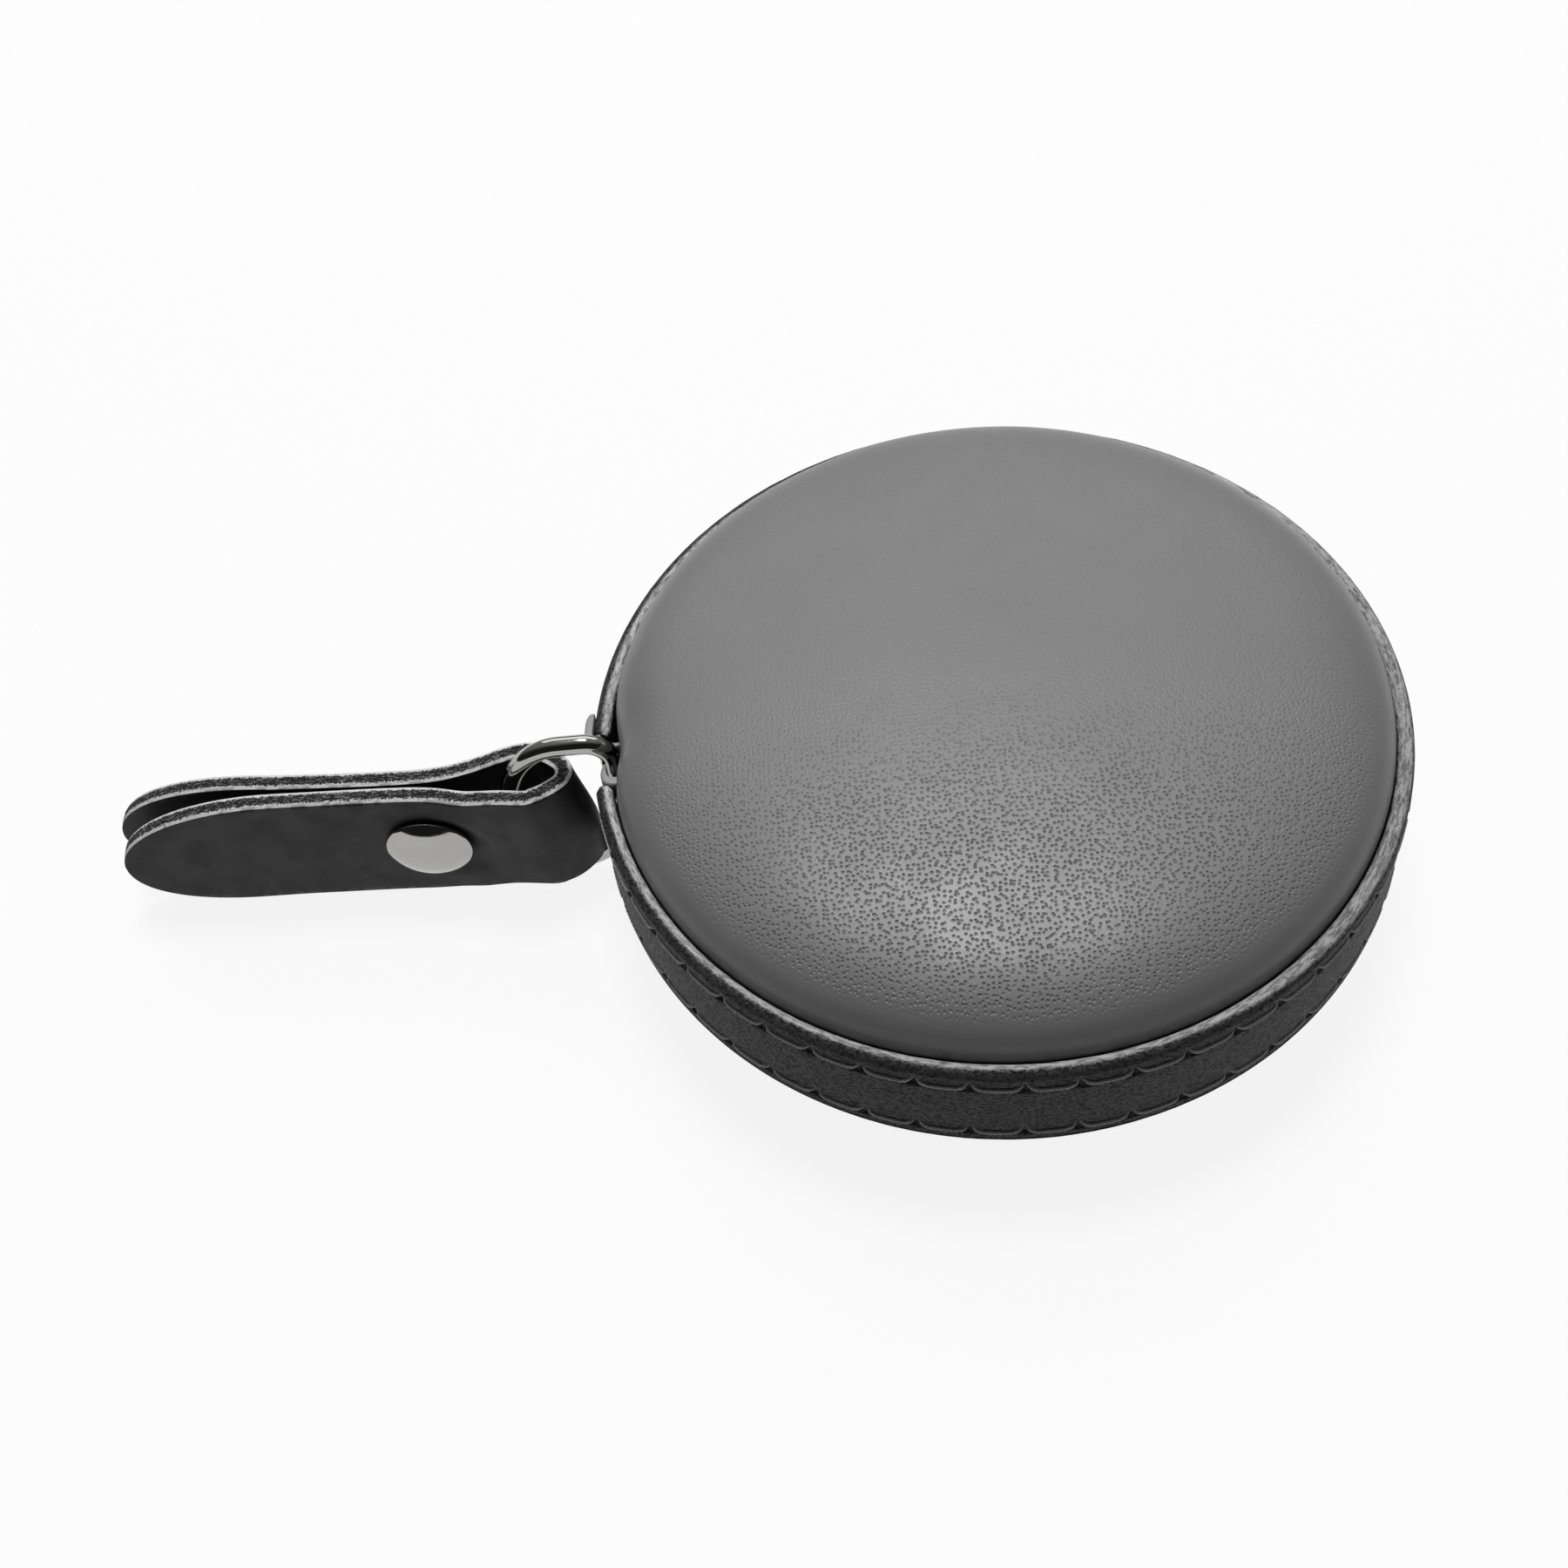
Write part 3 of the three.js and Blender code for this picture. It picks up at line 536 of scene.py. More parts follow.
class Look(Nodes):
    """A procedural material around a Principled shader, with its places in millimetres."""

    def __init__(self, name):
        self.material = bpy.data.materials.new(name)
        self.material.use_nodes = True
        super().__init__(self.material.node_tree)
        self.shader = self.tree.nodes["Principled BSDF"]
        self.mm = self.vector("SCALE", self.node("ShaderNodeTexCoord").outputs["Object"], scale=1 / MM)

    def vector(self, operation, a, b=None, scale=None):
        made = self.node("ShaderNodeVectorMath", {0: a}, operation=operation)
        if b is not None:
            self.feed(made.inputs[1], b)
        if scale is not None:
            self.feed(made.inputs["Scale"], scale)
        return made.outputs[0]

    def noise(self, scale, detail=2.0, roughness=0.5, place=None):
        inputs = {"Vector": place or self.mm, "Scale": scale, "Detail": detail, "Roughness": roughness}
        return self.node("ShaderNodeTexNoise", inputs).outputs["Fac"]

    def cells(self, scale):
        """Distance from the nearest of scattered points."""
        return self.node("ShaderNodeTexVoronoi", {"Vector": self.mm, "Scale": scale}).outputs["Distance"]

    def mix(self, factor, a, b):
        return self.node("ShaderNodeMix", {0: factor, 6: a, 7: b}, data_type="RGBA").outputs[2]

    def axis(self, name, place=None):
        return self.node("ShaderNodeSeparateXYZ", {0: place or self.mm}).outputs[name]

    def radius(self):
        """Distance from the case's axis."""
        x, y = self.axis("X"), self.axis("Y")
        return self.math("SQRT", self.plus(self.times(x, x), self.times(y, y)))

    def warped(self, amount, scale):
        """Places in millimetres, shifted by smooth noise."""
        drift = self.node("ShaderNodeTexNoise", {"Vector": self.mm, "Scale": scale, "Detail": 1.0})
        centred = self.vector("SUBTRACT", drift.outputs["Color"], (0.5, 0.5, 0.5))
        return self.vector("ADD", self.mm, self.vector("SCALE", centred, scale=amount))

    def bump(self, height, depth):
        """depth is in millimetres, for a height of 1."""
        inputs = {"Height": height, "Distance": depth * MM, "Strength": 1.0}
        self.feed(self.shader.inputs["Normal"], self.node("ShaderNodeBump", inputs).outputs["Normal"])

    def set(self, **sockets):
        for key, value in sockets.items():
            self.feed(self.shader.inputs[key.replace("_", " ")], value)
        return self.material


def grey(value):
    return (value, value, value, 1.0)


def cover_leather():
    """Mid grey leather with close small pits, deeper towards the front; the pits are darkened in colour as
    painted shade, most towards the front.
    """
    look = Look("cover_leather")
    place = {"Vector": look.warped(0.15, 0.9), "Scale": 3.2, "Randomness": 0.8}
    pits = look.node("ShaderNodeTexVoronoi", place, voronoi_dimensions="2D", feature="F1")
    size = look.axis("X", pits.outputs["Color"])
    patch = look.noise(0.3, 3.0)
    pit = look.times(look.range(pits.outputs["Distance"], 0.05, 0.36, 1.0, 0.0),
                    look.range(size, 0.0, 0.8, 0.5, 1.0))
    # Share of pit depth and of painted shade: most at the front, fading near the dome's edge.
    front_depth_and_shade = look.times(look.range(look.axis("Y"), -15.0, 1.0, 1.0, 0.2),
                      look.range(look.radius(), 21.6, 23.2, 1.0, 0.0))
    depth = look.times(look.times(pit, front_depth_and_shade), look.range(patch, 0.3, 0.65, 0.7, 1.0))
    fine = look.noise(5.0, 2.0)
    height = look.minus(look.times(fine, 0.15), depth)
    look.bump(height, 0.075)
    tone = look.mix(look.noise(0.11, 3.0), grey(0.159), grey(0.183))
    # Painted shade: the pits are darkened in colour by their depth.
    colour = look.mix(look.times(depth, 0.3), tone, grey(0.06))
    rough = look.plus(look.range(patch, 0.3, 0.7, 0.36, 0.43), look.times(depth, 0.1))
    return look.set(Base_Color=colour, Roughness=rough, Specular_IOR_Level=0.5)


def band_leather():
    """Dark leather with fine pores, worn pale in streaks along the beads. The pale zone reaches further out
    on the right and is paler on the left: painted light from the right.
    """
    look = Look("band_leather")
    up = look.math("ABSOLUTE", look.minus(look.axis("Z"), Z0))
    x, y = look.axis("X"), look.axis("Y")
    radius = look.radius()
    # Painted light from the right: the pale zone on the beads reaches further outward on the right side and
    # is paler on the left.
    right = look.range(x, 4.0, 21.0)
    worn = look.minus(radius, look.times(right, 0.4))
    crest = look.times(look.range(up, 3.5, 3.78), look.range(worn, 24.3, 24.62, 1.0, 0.06))
    stretched = look.vector("MULTIPLY", look.warped(0.3, 0.9), (1.0, 1.0, 1.6))
    grain = look.noise(3.6, 3.0, 0.65, place=stretched)
    pores = look.range(look.noise(4.4, 2.0, 0.5, place=stretched), 0.5, 0.62)
    pores = look.times(pores, look.range(crest, 0.1, 0.7, 1.0, 0.15))
    height = look.minus(look.times(grain, 0.6), pores)
    look.bump(height, 0.13)
    turn = look.times(look.math("ARCTAN2", y, x), CASE_R)
    rolled = look.node("ShaderNodeCombineXYZ", {0: look.times(turn, 0.22), 1: radius, 2: up})
    streak = look.noise(5.5, 4.0, 0.7, place=rolled.outputs[0])
    rub_and_light = look.times(crest, look.range(streak, 0.36, 0.6, 0.3, 1.0))
    tone = look.mix(look.noise(0.35, 3.0), grey(0.008), grey(0.012))
    tone = look.mix(look.times(pores, 0.8), tone, grey(0.002))
    # Pale crest colour: the streaks are real wear, the paler tone on the left is painted light.
    colour = look.mix(rub_and_light, tone, look.mix(right, grey(0.6), grey(0.42)))
    rough = look.plus(look.range(grain, 0.3, 0.7, 0.48, 0.6), look.times(rub_and_light, 0.2))
    shine = look.range(pores, 0.0, 1.0, 0.25, 0.08)
    return look.set(Base_Color=colour, Roughness=rough, Specular_IOR_Level=shine)


def tab_leather():
    """Smooth dark leather with a very fine grain and slight clouding."""
    look = Look("tab_leather")
    fine = look.noise(4.5, 3.0, 0.6)
    cells = look.range(look.cells(2.6), 0.1, 0.5)
    height = look.plus(look.times(fine, 0.6), look.times(cells, 0.3))
    look.bump(height, 0.012)
    tone = look.mix(look.noise(0.16, 3.0), grey(0.011), grey(0.014))
    rough = look.range(look.noise(0.6, 3.0), 0.3, 0.7, 0.5, 0.6)
    return look.set(Base_Color=tone, Roughness=rough, Specular_IOR_Level=0.3)


def tab_edge():
    """Raw cut edge: thin pale frayed lines along both corners and a dark core with loose fibres."""
    look = Look("tab_edge")
    across = look.node("ShaderNodeAttribute", attribute_name="across").outputs["Fac"]
    fray = look.noise(5.5, 4.0, 0.75)
    tufts = look.plus(fray, look.noise(10.0, 2.0, 0.6))
    ragged = look.plus(across, look.times(look.minus(tufts, 1.0), 0.4))
    core = look.times(look.range(ragged, 0.16, 0.24), look.range(ragged, 0.76, 0.84, 1.0, 0.0))
    strands = look.noise(4.0, 4.0, 0.8, place=look.vector("MULTIPLY", look.mm, (0.7, 3.5, 1.0)))
    speck = look.times(core, look.range(strands, 0.52, 0.68, 1.0, 0.35))
    pale = look.mix(look.noise(6.0, 3.0, 0.7), grey(0.55), grey(1.0))
    dark = look.mix(look.noise(3.0, 3.0, 0.7), grey(0.006), grey(0.03))
    look.bump(fray, 0.15)
    return look.set(Base_Color=look.mix(speck, pale, dark), Roughness=0.9, Specular_IOR_Level=0.2)


def thread_look():
    """Matt spun thread with slight unevenness along its fibres."""
    look = Look("thread")
    fibre = look.noise(14.0, 3.0, 0.7)
    tone = look.mix(look.noise(1.3, 2.0), grey(0.8), grey(0.98))
    colour = look.mix(look.range(fibre, 0.35, 0.6, 0.4, 0.0), tone, grey(0.12))
    look.bump(fibre, 0.02)
    return look.set(Base_Color=colour, Roughness=0.75, Sheen_Weight=0.3)


def metal(name, tint, low, high, scratch=1.0):
    """Plated or drawn metal with hairline scratches and faint clouding."""
    look = Look(name)
    lines = look.noise(9.0, 3.0, 0.6, place=look.vector("MULTIPLY", look.mm, (1.0, 0.4, 0.12)))
    cloud = look.noise(0.7, 3.0)
    rough = look.range(cloud, 0.3, 0.75, low, high)
    look.bump(lines, 0.0015 * scratch)
    dull = tuple(c * 0.86 for c in tint)
    colour = look.mix(cloud, (*tint, 1.0), (*dull, 1.0))
    return look.set(Base_Color=colour, Metallic=1.0, Roughness=rough)


def plastic(name, value, low, high, depth):
    """Moulded plastic with a fine spark-eroded texture."""
    look = Look(name)
    texture = look.noise(7.0, 3.0, 0.6)
    look.bump(texture, depth)
    tone = look.mix(look.noise(0.4, 2.0), grey(value * 0.88), grey(value * 1.08))
    rough = look.range(look.noise(1.1, 2.0), 0.3, 0.7, low, high)
    return look.set(Base_Color=tone, Roughness=rough)


def foam_look():
    """Open-cell foam."""
    look = Look("foam")
    cells = look.cells(1.9)
    look.bump(cells, 0.25)
    colour = look.mix(look.range(cells, 0.1, 0.5), (0.62, 0.59, 0.52, 1), (0.42, 0.4, 0.34, 1))
    return look.set(Base_Color=colour, Roughness=0.95, Specular_IOR_Level=0.1)


def felt_look():
    """Dark red brake felt."""
    look = Look("felt")
    fibre = look.noise(4.0, 5.0, 0.75)
    look.bump(fibre, 0.15)
    colour = look.mix(fibre, (0.05, 0.016, 0.016, 1), (0.15, 0.05, 0.05, 1))
    return look.set(Base_Color=colour, Roughness=0.95, Sheen_Weight=0.4)


def tape_look():
    """Cream coated cloth with a woven face and a printed scale, read from the length along the tape."""
    look = Look("tape_cloth")
    run = look.node("ShaderNodeAttribute", attribute_name="tape_mm").outputs["Fac"]
    up = look.minus(look.axis("Z"), Z0)

    def marks(pitch, width, reach):
        step = look.math("FRACT", look.math("DIVIDE", run, pitch))
        part = look.math("ABSOLUTE", look.minus(step, 0.5))
        on = look.math("GREATER_THAN", part, 0.5 - width / pitch / 2)
        return look.times(on, look.math("GREATER_THAN", up, TAPE_HALF - reach))

    def threads(direction):
        waves = {"Vector": look.mm, "Scale": 1.1}
        return look.node("ShaderNodeTexWave", waves, bands_direction=direction).outputs["Fac"]

    half_marks = look.math("MAXIMUM", marks(5, 0.3, 2.3), marks(1, 0.22, 1.5))
    ink = look.math("MAXIMUM", marks(10, 0.4, 3.2), half_marks)
    look.bump(look.times(threads("X"), threads("Z")), 0.02)
    cloth = look.mix(look.noise(0.3, 3.0), (0.78, 0.73, 0.6, 1), (0.7, 0.65, 0.52, 1))
    worn = look.times(ink, look.range(look.noise(3.0, 3.0), 0.2, 0.35))
    return look.set(Base_Color=look.mix(worn, cloth, grey(0.015)), Roughness=0.55)


COVER = cover_leather()
BAND = band_leather()
TAB = tab_leather()
EDGE = tab_edge()
THREAD = thread_look()
NICKEL = metal("nickel", (0.41, 0.407, 0.4), 0.06, 0.12)
SPRING = metal("spring_steel", (0.42, 0.43, 0.45), 0.22, 0.36, 2.0)
LIP_PLASTIC = plastic("grey_plastic", 0.27, 0.3, 0.42, 0.012)
BLACK_PLASTIC = plastic("black_plastic", 0.02, 0.4, 0.55, 0.02)
FOAM = foam_look()
FELT = felt_look()
TAPE = tape_look()


# Case

def dome_height(r, flat):
    share = np.minimum(r / DOME_R, 1)
    crown = np.maximum(r - flat, 0) / (DOME_R - flat)
    shoulder = HALF_THICKNESS - GROOVE_REL - CROWN
    square = (1 - share ** SHOULDER_POWER) ** (1 / SHOULDER_ROOT)
    return GROOVE_REL + shoulder * square + CROWN * (1 - crown ** 2)


def dome_line(flat, steps):
    r = DOME_R * np.sin(np.linspace(0, math.pi / 2, steps))
    return np.stack([r, dome_height(r, flat)], -1)


def lining_line(flat, depth):
    """The dome's line moved in by depth, as far as the lining's edge."""
    line = dome_line(flat, LINING_STEPS)
    inner = line - depth * square_to(line)
    kept = inner[(inner[:, 0] < LINING_EDGE_R - LINING_TRIM[0]) & (inner[:, 1] > GROOVE_REL + LINING_TRIM[1])]
    kept[0] = (0, HALF_THICKNESS - depth)
    return kept


def cover(name, flat, side):
    """Padded leather disc, turned down inside the band, a little uneven and dented at the mouth."""
    outside = dome_line(flat, DOME_STEPS)
    foot = GROOVE_REL - FLANGE_DEPTH
    turn_in = [[FLANGE_R - FLANGE_ROUND[0], GROOVE_REL - FLANGE_ROUND[1]], [FLANGE_R, GROOVE_REL - FIT],
               [FLANGE_R, foot], [LINING_EDGE_R, foot], [LINING_EDGE_R, GROOVE_REL]]
    profile = np.concatenate([outside, turn_in, lining_line(flat, LEATHER)[::-1]])
    profile[:, 1] *= side

    def uneven(points):
        rel = (points[:, 2] - Z0) * side
        radius = np.hypot(points[:, 0], points[:, 1])
        where = (radius > flat + WAVE_MARGIN[0]) & (rel > GROOVE_REL + WAVE_MARGIN[1])
        points[where, 2] += side * WAVE_HEIGHT * (wavy(points[where], WAVE_LENGTH, 3.0) - WAVE_SINK)

        def dent(depth, y, width, fade):
            at_mouth = (points[:, 0] < 0) * np.exp(-((points[:, 1] - y) / width) ** 2)
            return depth * at_mouth * smooth(*fade, rel)

        pressed = (dent(**MOUTH_DENT) + dent(**WIRE_DENT)) * smooth(*DENT_R, radius)
        skin = np.arange(len(points)) % len(profile) < len(outside)
        points[skin, :2] *= (1 - pressed / CASE_R)[skin, None]
        return points

    disc = lathe(name, profile, CASE_STEPS, bend=uneven)
    half = MOUTH_HALF_HEIGHT + NOTCH_MARGIN
    notch = rectangle(*NOTCH_X, -MOUTH_HALF_GAP, MOUTH_HALF_GAP)
    return carve(disc, prism("notch", notch, -half, half, 0.01))


def stitch_angles():
    span = 2 * math.pi - 2 * SEAM_MARGIN
    count = round(span * CASE_R / STITCH_PITCH)
    return math.pi + SEAM_MARGIN + span * np.arange(count + 1) / count


def band_profile():
    """Cut through the band: swollen outside with two pressed lines, beaded edges and a flat inside."""
    height = np.linspace(-BAND_OUTSIDE_REL, BAND_OUTSIDE_REL, BAND_ROWS)
    middle = STITCH_SAG / 3
    from_line = np.minimum(np.abs(height - SEAM_REL + middle), np.abs(height + SEAM_REL + middle))
    channel = SEAM_CHANNEL * (1 - smooth(*SEAM_CHANNEL_HALF, from_line))
    swell = BAND_SWELL * (np.cos(height / BAND_OUTSIDE_REL * math.pi / 2) - 1)
    outside = np.stack([CASE_R - channel + swell, height], -1)
    half = BAND_THICKNESS / 2
    spring = BAND_HALF_HEIGHT - BEAD_HEIGHT
    bead = arc(BAND_INNER_R + half, spring, half - BEAD_INSET, BEAD_HEIGHT, 4, 176, 16)
    inside = np.stack([np.full(7, BAND_INNER_R), np.linspace(BAND_INSIDE_REL, -BAND_INSIDE_REL, 7)], -1)
    return np.concatenate([outside, bead, inside, (bead * [1, -1])[::-1]])


def band():
    """Leather strip with beaded edges, a pressed line for each seam and a hole at each stitch."""
    profile = band_profile()
    near, far = math.asin(-BAND_NEAR_Y / CASE_R), math.asin(BAND_FAR_Y / CASE_R)
    turn = np.linspace(math.pi + near, 3 * math.pi - far, BAND_STEPS)
    r = np.broadcast_to(profile[:, 0], (len(turn), len(profile))).copy()
    z = np.broadcast_to(profile[:, 1], r.shape).copy()
    middle = BAND_INNER_R + BAND_THICKNESS / 2
    outer = r > CASE_R - BAND_THICKNESS / 2
    for side in (1, -1):
        for angle in stitch_angles():
            close = np.abs(turn - angle) < PULL_REACH / CASE_R
            along = ((turn[close] - angle) * CASE_R)[:, None]
            up = z[close] - side * SEAM_REL - STITCH_SAG / 2
            hole = np.exp(-(along / HOLE_SIZE[0]) ** 2 - (up / HOLE_SIZE[1]) ** 2)
            pull = np.exp(-(along / PULL_SIZE[0]) ** 2 - (up / PULL_SIZE[1]) ** 2)
            r[close] -= outer[close] * (HOLE_DEPTH * hole + PULL_DEPTH * pull)
    ends = 1 - smooth(0, BAND_END, np.minimum(turn - turn[0], turn[-1] - turn) * CASE_R)[:, None]
    r = middle + (r - middle) * (1 - BAND_END_THINNER * ends)
    z = z * (1 - BAND_END_LOWER * ends)
    points = np.stack([np.cos(turn)[:, None] * r, np.sin(turn)[:, None] * r, z + Z0], -1).reshape(-1, 3)
    rel = points[:, 2] - Z0
    points[:, 2] += np.sign(rel) * smooth(*BEAD_REL, np.abs(rel)) * (rough(points, BEAD_WAVES) - BEAD_SINK)
    return make("band_strip", points, ring_faces(len(turn), len(profile)))


def seam(name, rel):
    """One row of lock stitches, each a twisted thread that sags between two holes."""
    points, faces = [], []
    angles = stitch_angles()
    t = np.linspace(0, 1, STITCH_STEPS)

    def plateau(ramp):
        return smooth(0, ramp, t) * smooth(0, ramp, 1 - t)

    r = CASE_R - STITCH_DEPTH + STITCH_RISE * plateau(STITCH_RISE_SHARE)
    z = rel + STITCH_SAG / 2 - STITCH_SAG * plateau(STITCH_SAG_SHARE)
    for start, end in zip(angles[:-1], angles[1:]):
        angle = start + (end - start) * (STITCH_INSET_SHARE + (1 - 2 * STITCH_INSET_SHARE) * t)
        for strand in range(STRANDS):
            twist = 2 * math.pi * (strand / STRANDS + STRAND_TWISTS * t)
            rs = r + STRAND_OFFSET * np.cos(twist)
            zs = z + STRAND_OFFSET * np.sin(twist)
            path = np.stack([rs * np.cos(angle), rs * np.sin(angle), zs + Z0], -1)
            more, quads = tube_mesh(path, STRAND_R, 6)
            base = len(points)
            points.extend(more)
            faces.extend(tuple(base + i for i in quad) for quad in quads)
    return make(name, points, faces, 80)


def on_circle(r, y):
    """Plan points at distance r from the axis, on the mouth's side."""
    return np.stack([-np.sqrt(r * r - y * y), y], -1)


def ear_outline():
    """Lip that turns out round the band's far end and lies on the band."""
    outer_r = CASE_R + FAR_LIP_PROUD
    back = FAR_LIP_Y + LIP_WALL
    bulge = np.linspace(0, math.pi / 2, 15)
    r = CASE_R + FAR_LIP_END_PROUD + (FAR_LIP_PROUD - FAR_LIP_END_PROUD) * np.cos(bulge)
    return np.concatenate([
        [[EAR_ROOT_X, FAR_LIP_Y + EAR_LAP]],
        arc(LIP_WALL - outer_r, back, LIP_WALL, LIP_WALL - EAR_LAP, 270, 180, 8),
        on_circle(outer_r, np.linspace(back + 0.1, FAR_LIP_TURN_Y - 0.1, 6)),
        on_circle(r, FAR_LIP_TURN_Y + (FAR_LIP_END_Y - FAR_LIP_TURN_Y) * np.sin(bulge)),
        on_circle(CASE_R + EAR_GAP, np.linspace(FAR_LIP_END_Y - EAR_LAP, back, 8)),
        [[EAR_ROOT_X, back - EAR_LAP]],
    ])


def knob():
    half_turn = np.linspace(0, math.pi, 13)
    ball = lathe("knob", KNOB_R * np.stack([np.sin(half_turn), np.cos(half_turn)], -1), 20)
    ball.data.transform(Matrix.Translation(Vector(KNOB_AT) * MM))
    return ball


def mouthpiece():
    """Moulded mouth: a slotted plate, a wall and ear at the band's far end, collars and a knob in front."""
    plate = rectangle(MOUTH_FACE, MOUTH_BACK, PLATE_HALF, -PLATE_HALF)
    wall = rectangle(FAR_WALL_X, MOUTH_ROOT, FAR_LIP_Y, FAR_LIP_Y + LIP_WALL)
    collar = np.concatenate([spline(COLLAR_OUTSIDE, 24), spline(COLLAR_INSIDE, 24)])
    slot = rectangle(MOUTH_FACE - SLOT_PAST, MOUTH_BACK + SLOT_PAST, -SLOT_HALF_WIDTH, SLOT_HALF_WIDTH)
    piece = prism("mouth_lips", plate, -MOUTH_HALF_HEIGHT, PLATE_TOP_REL, PLATE_BEVEL)
    foot = FAR_WALL_LIFT - MOUTH_HALF_HEIGHT
    carve(piece, prism("wall", wall, foot, FAR_WALL_TOP_REL, WALL_BEVEL), "UNION")
    ear = prism("ear", ear_outline(), EAR_LOW_REL, MOUTH_HALF_HEIGHT - EAR_LAP, EAR_BEVEL)
    carve(piece, ear, "UNION")
    for low, high in ((NEAR_LIP_REL, MOUTH_HALF_HEIGHT), (-MOUTH_HALF_HEIGHT, -NEAR_LIP_REL)):
        carve(piece, prism("collar", collar, low, high, COLLAR_BEVEL), "UNION")
    carve(piece, prism("slot", slot, -SLOT_HALF_HEIGHT, SLOT_HALF_HEIGHT, SLOT_BEVEL))
    carve(piece, prism("arm", rectangle(ARM_X, MOUTH_ROOT, *ARM_Y), *ARM_REL, ARM_BEVEL), "UNION")
    return carve(piece, knob(), "UNION")


top = dress(cover("top_cushion", 0, 1), COVER, "case", "cover_leather", "top_cover")
bottom = dress(cover("bottom_cushion", REST_FLAT_R, -1), COVER, "case", "cover_leather", "bottom_cover")
dress(band(), BAND, "case", "band_leather", "side_band")
dress(seam("top_stitches", SEAM_REL), THREAD, "case", "thread", "top_seam_thread")
dress(seam("bottom_stitches", -SEAM_REL), THREAD, "case", "thread", "bottom_seam_thread")
dress(mouthpiece(), LIP_PLASTIC, "case", "grey_plastic", "tape_mouth")


# Inside

def foam_pad(name, bore, flat, side):
    """Foam between a shell and its cover."""
    seat = LID_REL + PAD_GAP
    edge = SHELL_INNER_R - FIT
    line = lining_line(flat, LEATHER + FIT)
    line = line[(line[:, 0] > max(bore, 0.01)) & (line[:, 0] < edge) & (line[:, 1] > seat + PAD_TRIM)]
    crown = np.interp(bore, line[:, 0], line[:, 1])
    foot = [[bore, seat], [edge - PAD_EDGE, seat], [edge, seat + PAD_EDGE], [edge, seat + PAD_LIP]]
    profile = np.concatenate([foot, line[::-1], [[bore, crown]]])
    profile[:, 1] *= side
    return lathe(name, profile, ROUND_STEPS)


def strip_on_edge(name, line, across, half, edge, run):
    """A flat strip of tape standing on its edge along a plan line; run is its length in millimetres there."""
    corners = [(-half, -edge), (half, -edge), (half, edge), (-half, edge)]
    points = [[*(p + n * d), z + Z0] for p, n in zip(line, across) for d, z in corners]
    piece = make(name, points, ring_faces(len(line), len(corners)))
    keep_values(piece, "tape_mm", np.repeat(run, len(corners)))
    return piece


def tape_coil():
    """The wound tape, one spiral strip; its outer end lies where the lead leaves it."""
    share = np.linspace(0, 1, TAPE_TURNS * TAPE_TURN_STEPS)
    angle = math.pi + math.acos(LEAD_R / -LEAD_BEND_X) + share * TAPE_TURNS * 2 * math.pi
    r = COIL_R - TAPE_THICKNESS / 2 - share * (COIL_R - COIL_INNER_R - TAPE_THICKNESS)
    outward = np.stack([np.cos(angle), np.sin(angle)], -1)
    run = TAPE_OUT + np.cumsum(r * (angle[1] - angle[0]))
    half = TAPE_THICKNESS / 2 - COIL_PLAY
    return strip_on_edge("wound_tape", r[:, None] * outward, outward, half, TAPE_HALF, run)


def tape_lead():
    """The tape from the coil to the clip. Rows in the stretch that the pull draws out are spaced so that they
    lie evenly, at the scale's true lengths, when the clip is right out."""
    turn = math.acos(LEAD_R / -LEAD_BEND_X)
    touch = np.array([-LEAD_R * math.cos(turn), -LEAD_R * math.sin(turn)])
    t = np.linspace(0, 1, 13)[:, None]
    bend = np.array([LEAD_BEND_X, 0])
    last = bend + (touch - bend) * LEAD_BEND_SHARE
    curve = (1 - t) ** 2 * [LEAD_BEND_START_X, 0] + 2 * t * (1 - t) * bend + t * t * last
    weight = np.linspace(1, 0, LEAD_ROWS)
    even = np.linspace(0, 1, 4001)
    drawn = np.interp(weight, smooth(0, 1, even), even)
    straight = LEAD_HELD_X + (LEAD_DRAWN_X - LEAD_HELD_X) * drawn
    line = np.concatenate([[[LEAD_TIP_X, 0]], np.stack([straight, 0 * straight], -1), curve, touch[None, :]])
    weight = np.concatenate([[1.0], weight, np.zeros(len(curve) + 1)])
    run = line[:, 0] - LEAD_TIP_X + TAPE_OUT * (1 - weight)
    half = TAPE_THICKNESS / 2 - LEAD_PLAY
    return strip_on_edge("tape_strip", line, square_to(line), half, TAPE_HALF - LEAD_EDGE_PLAY, run)


def brake_felt():
    """Friction ring with soft edges."""
    low, high = FELT_REL
    bore, edge, soft = FELT_BORE, FELT_R, FELT_SOFT
    profile = [[bore + soft, low], [edge - soft, low], [edge, low + soft], [edge, high - soft],
               [edge - soft, high], [bore + soft, high], [bore, high - soft], [bore, low + soft]]
    return lathe("brake_felt", profile, ROUND_STEPS)


def button_coil():
    """Coil spring round the arbor's pin, under the button's ceiling."""
    share = np.linspace(0, 1, 48 * SPRING_TURNS + 1)
    angle = 2 * math.pi * SPRING_TURNS * share
    z = SPRING_LOW_Z + SPRING_WIRE_R + (SPRING_HIGH_Z - SPRING_LOW_Z - 2 * SPRING_WIRE_R) * share
    path = np.stack([SPRING_R * np.cos(angle), SPRING_R * np.sin(angle), z], -1)
    return make("button_coil", *tube_mesh(path, SPRING_WIRE_R, 10))


for node, look in (("upper_shell", BLACK_PLASTIC), ("lower_shell", BLACK_PLASTIC), ("tape_reel", LIP_PLASTIC),
                   ("reel_cover", LIP_PLASTIC), ("reel_washer", SPRING), ("main_spring", SPRING),
                   ("button_plunger", BLACK_PLASTIC)):
    for material_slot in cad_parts[node].material_slots:
        material_slot.material = look

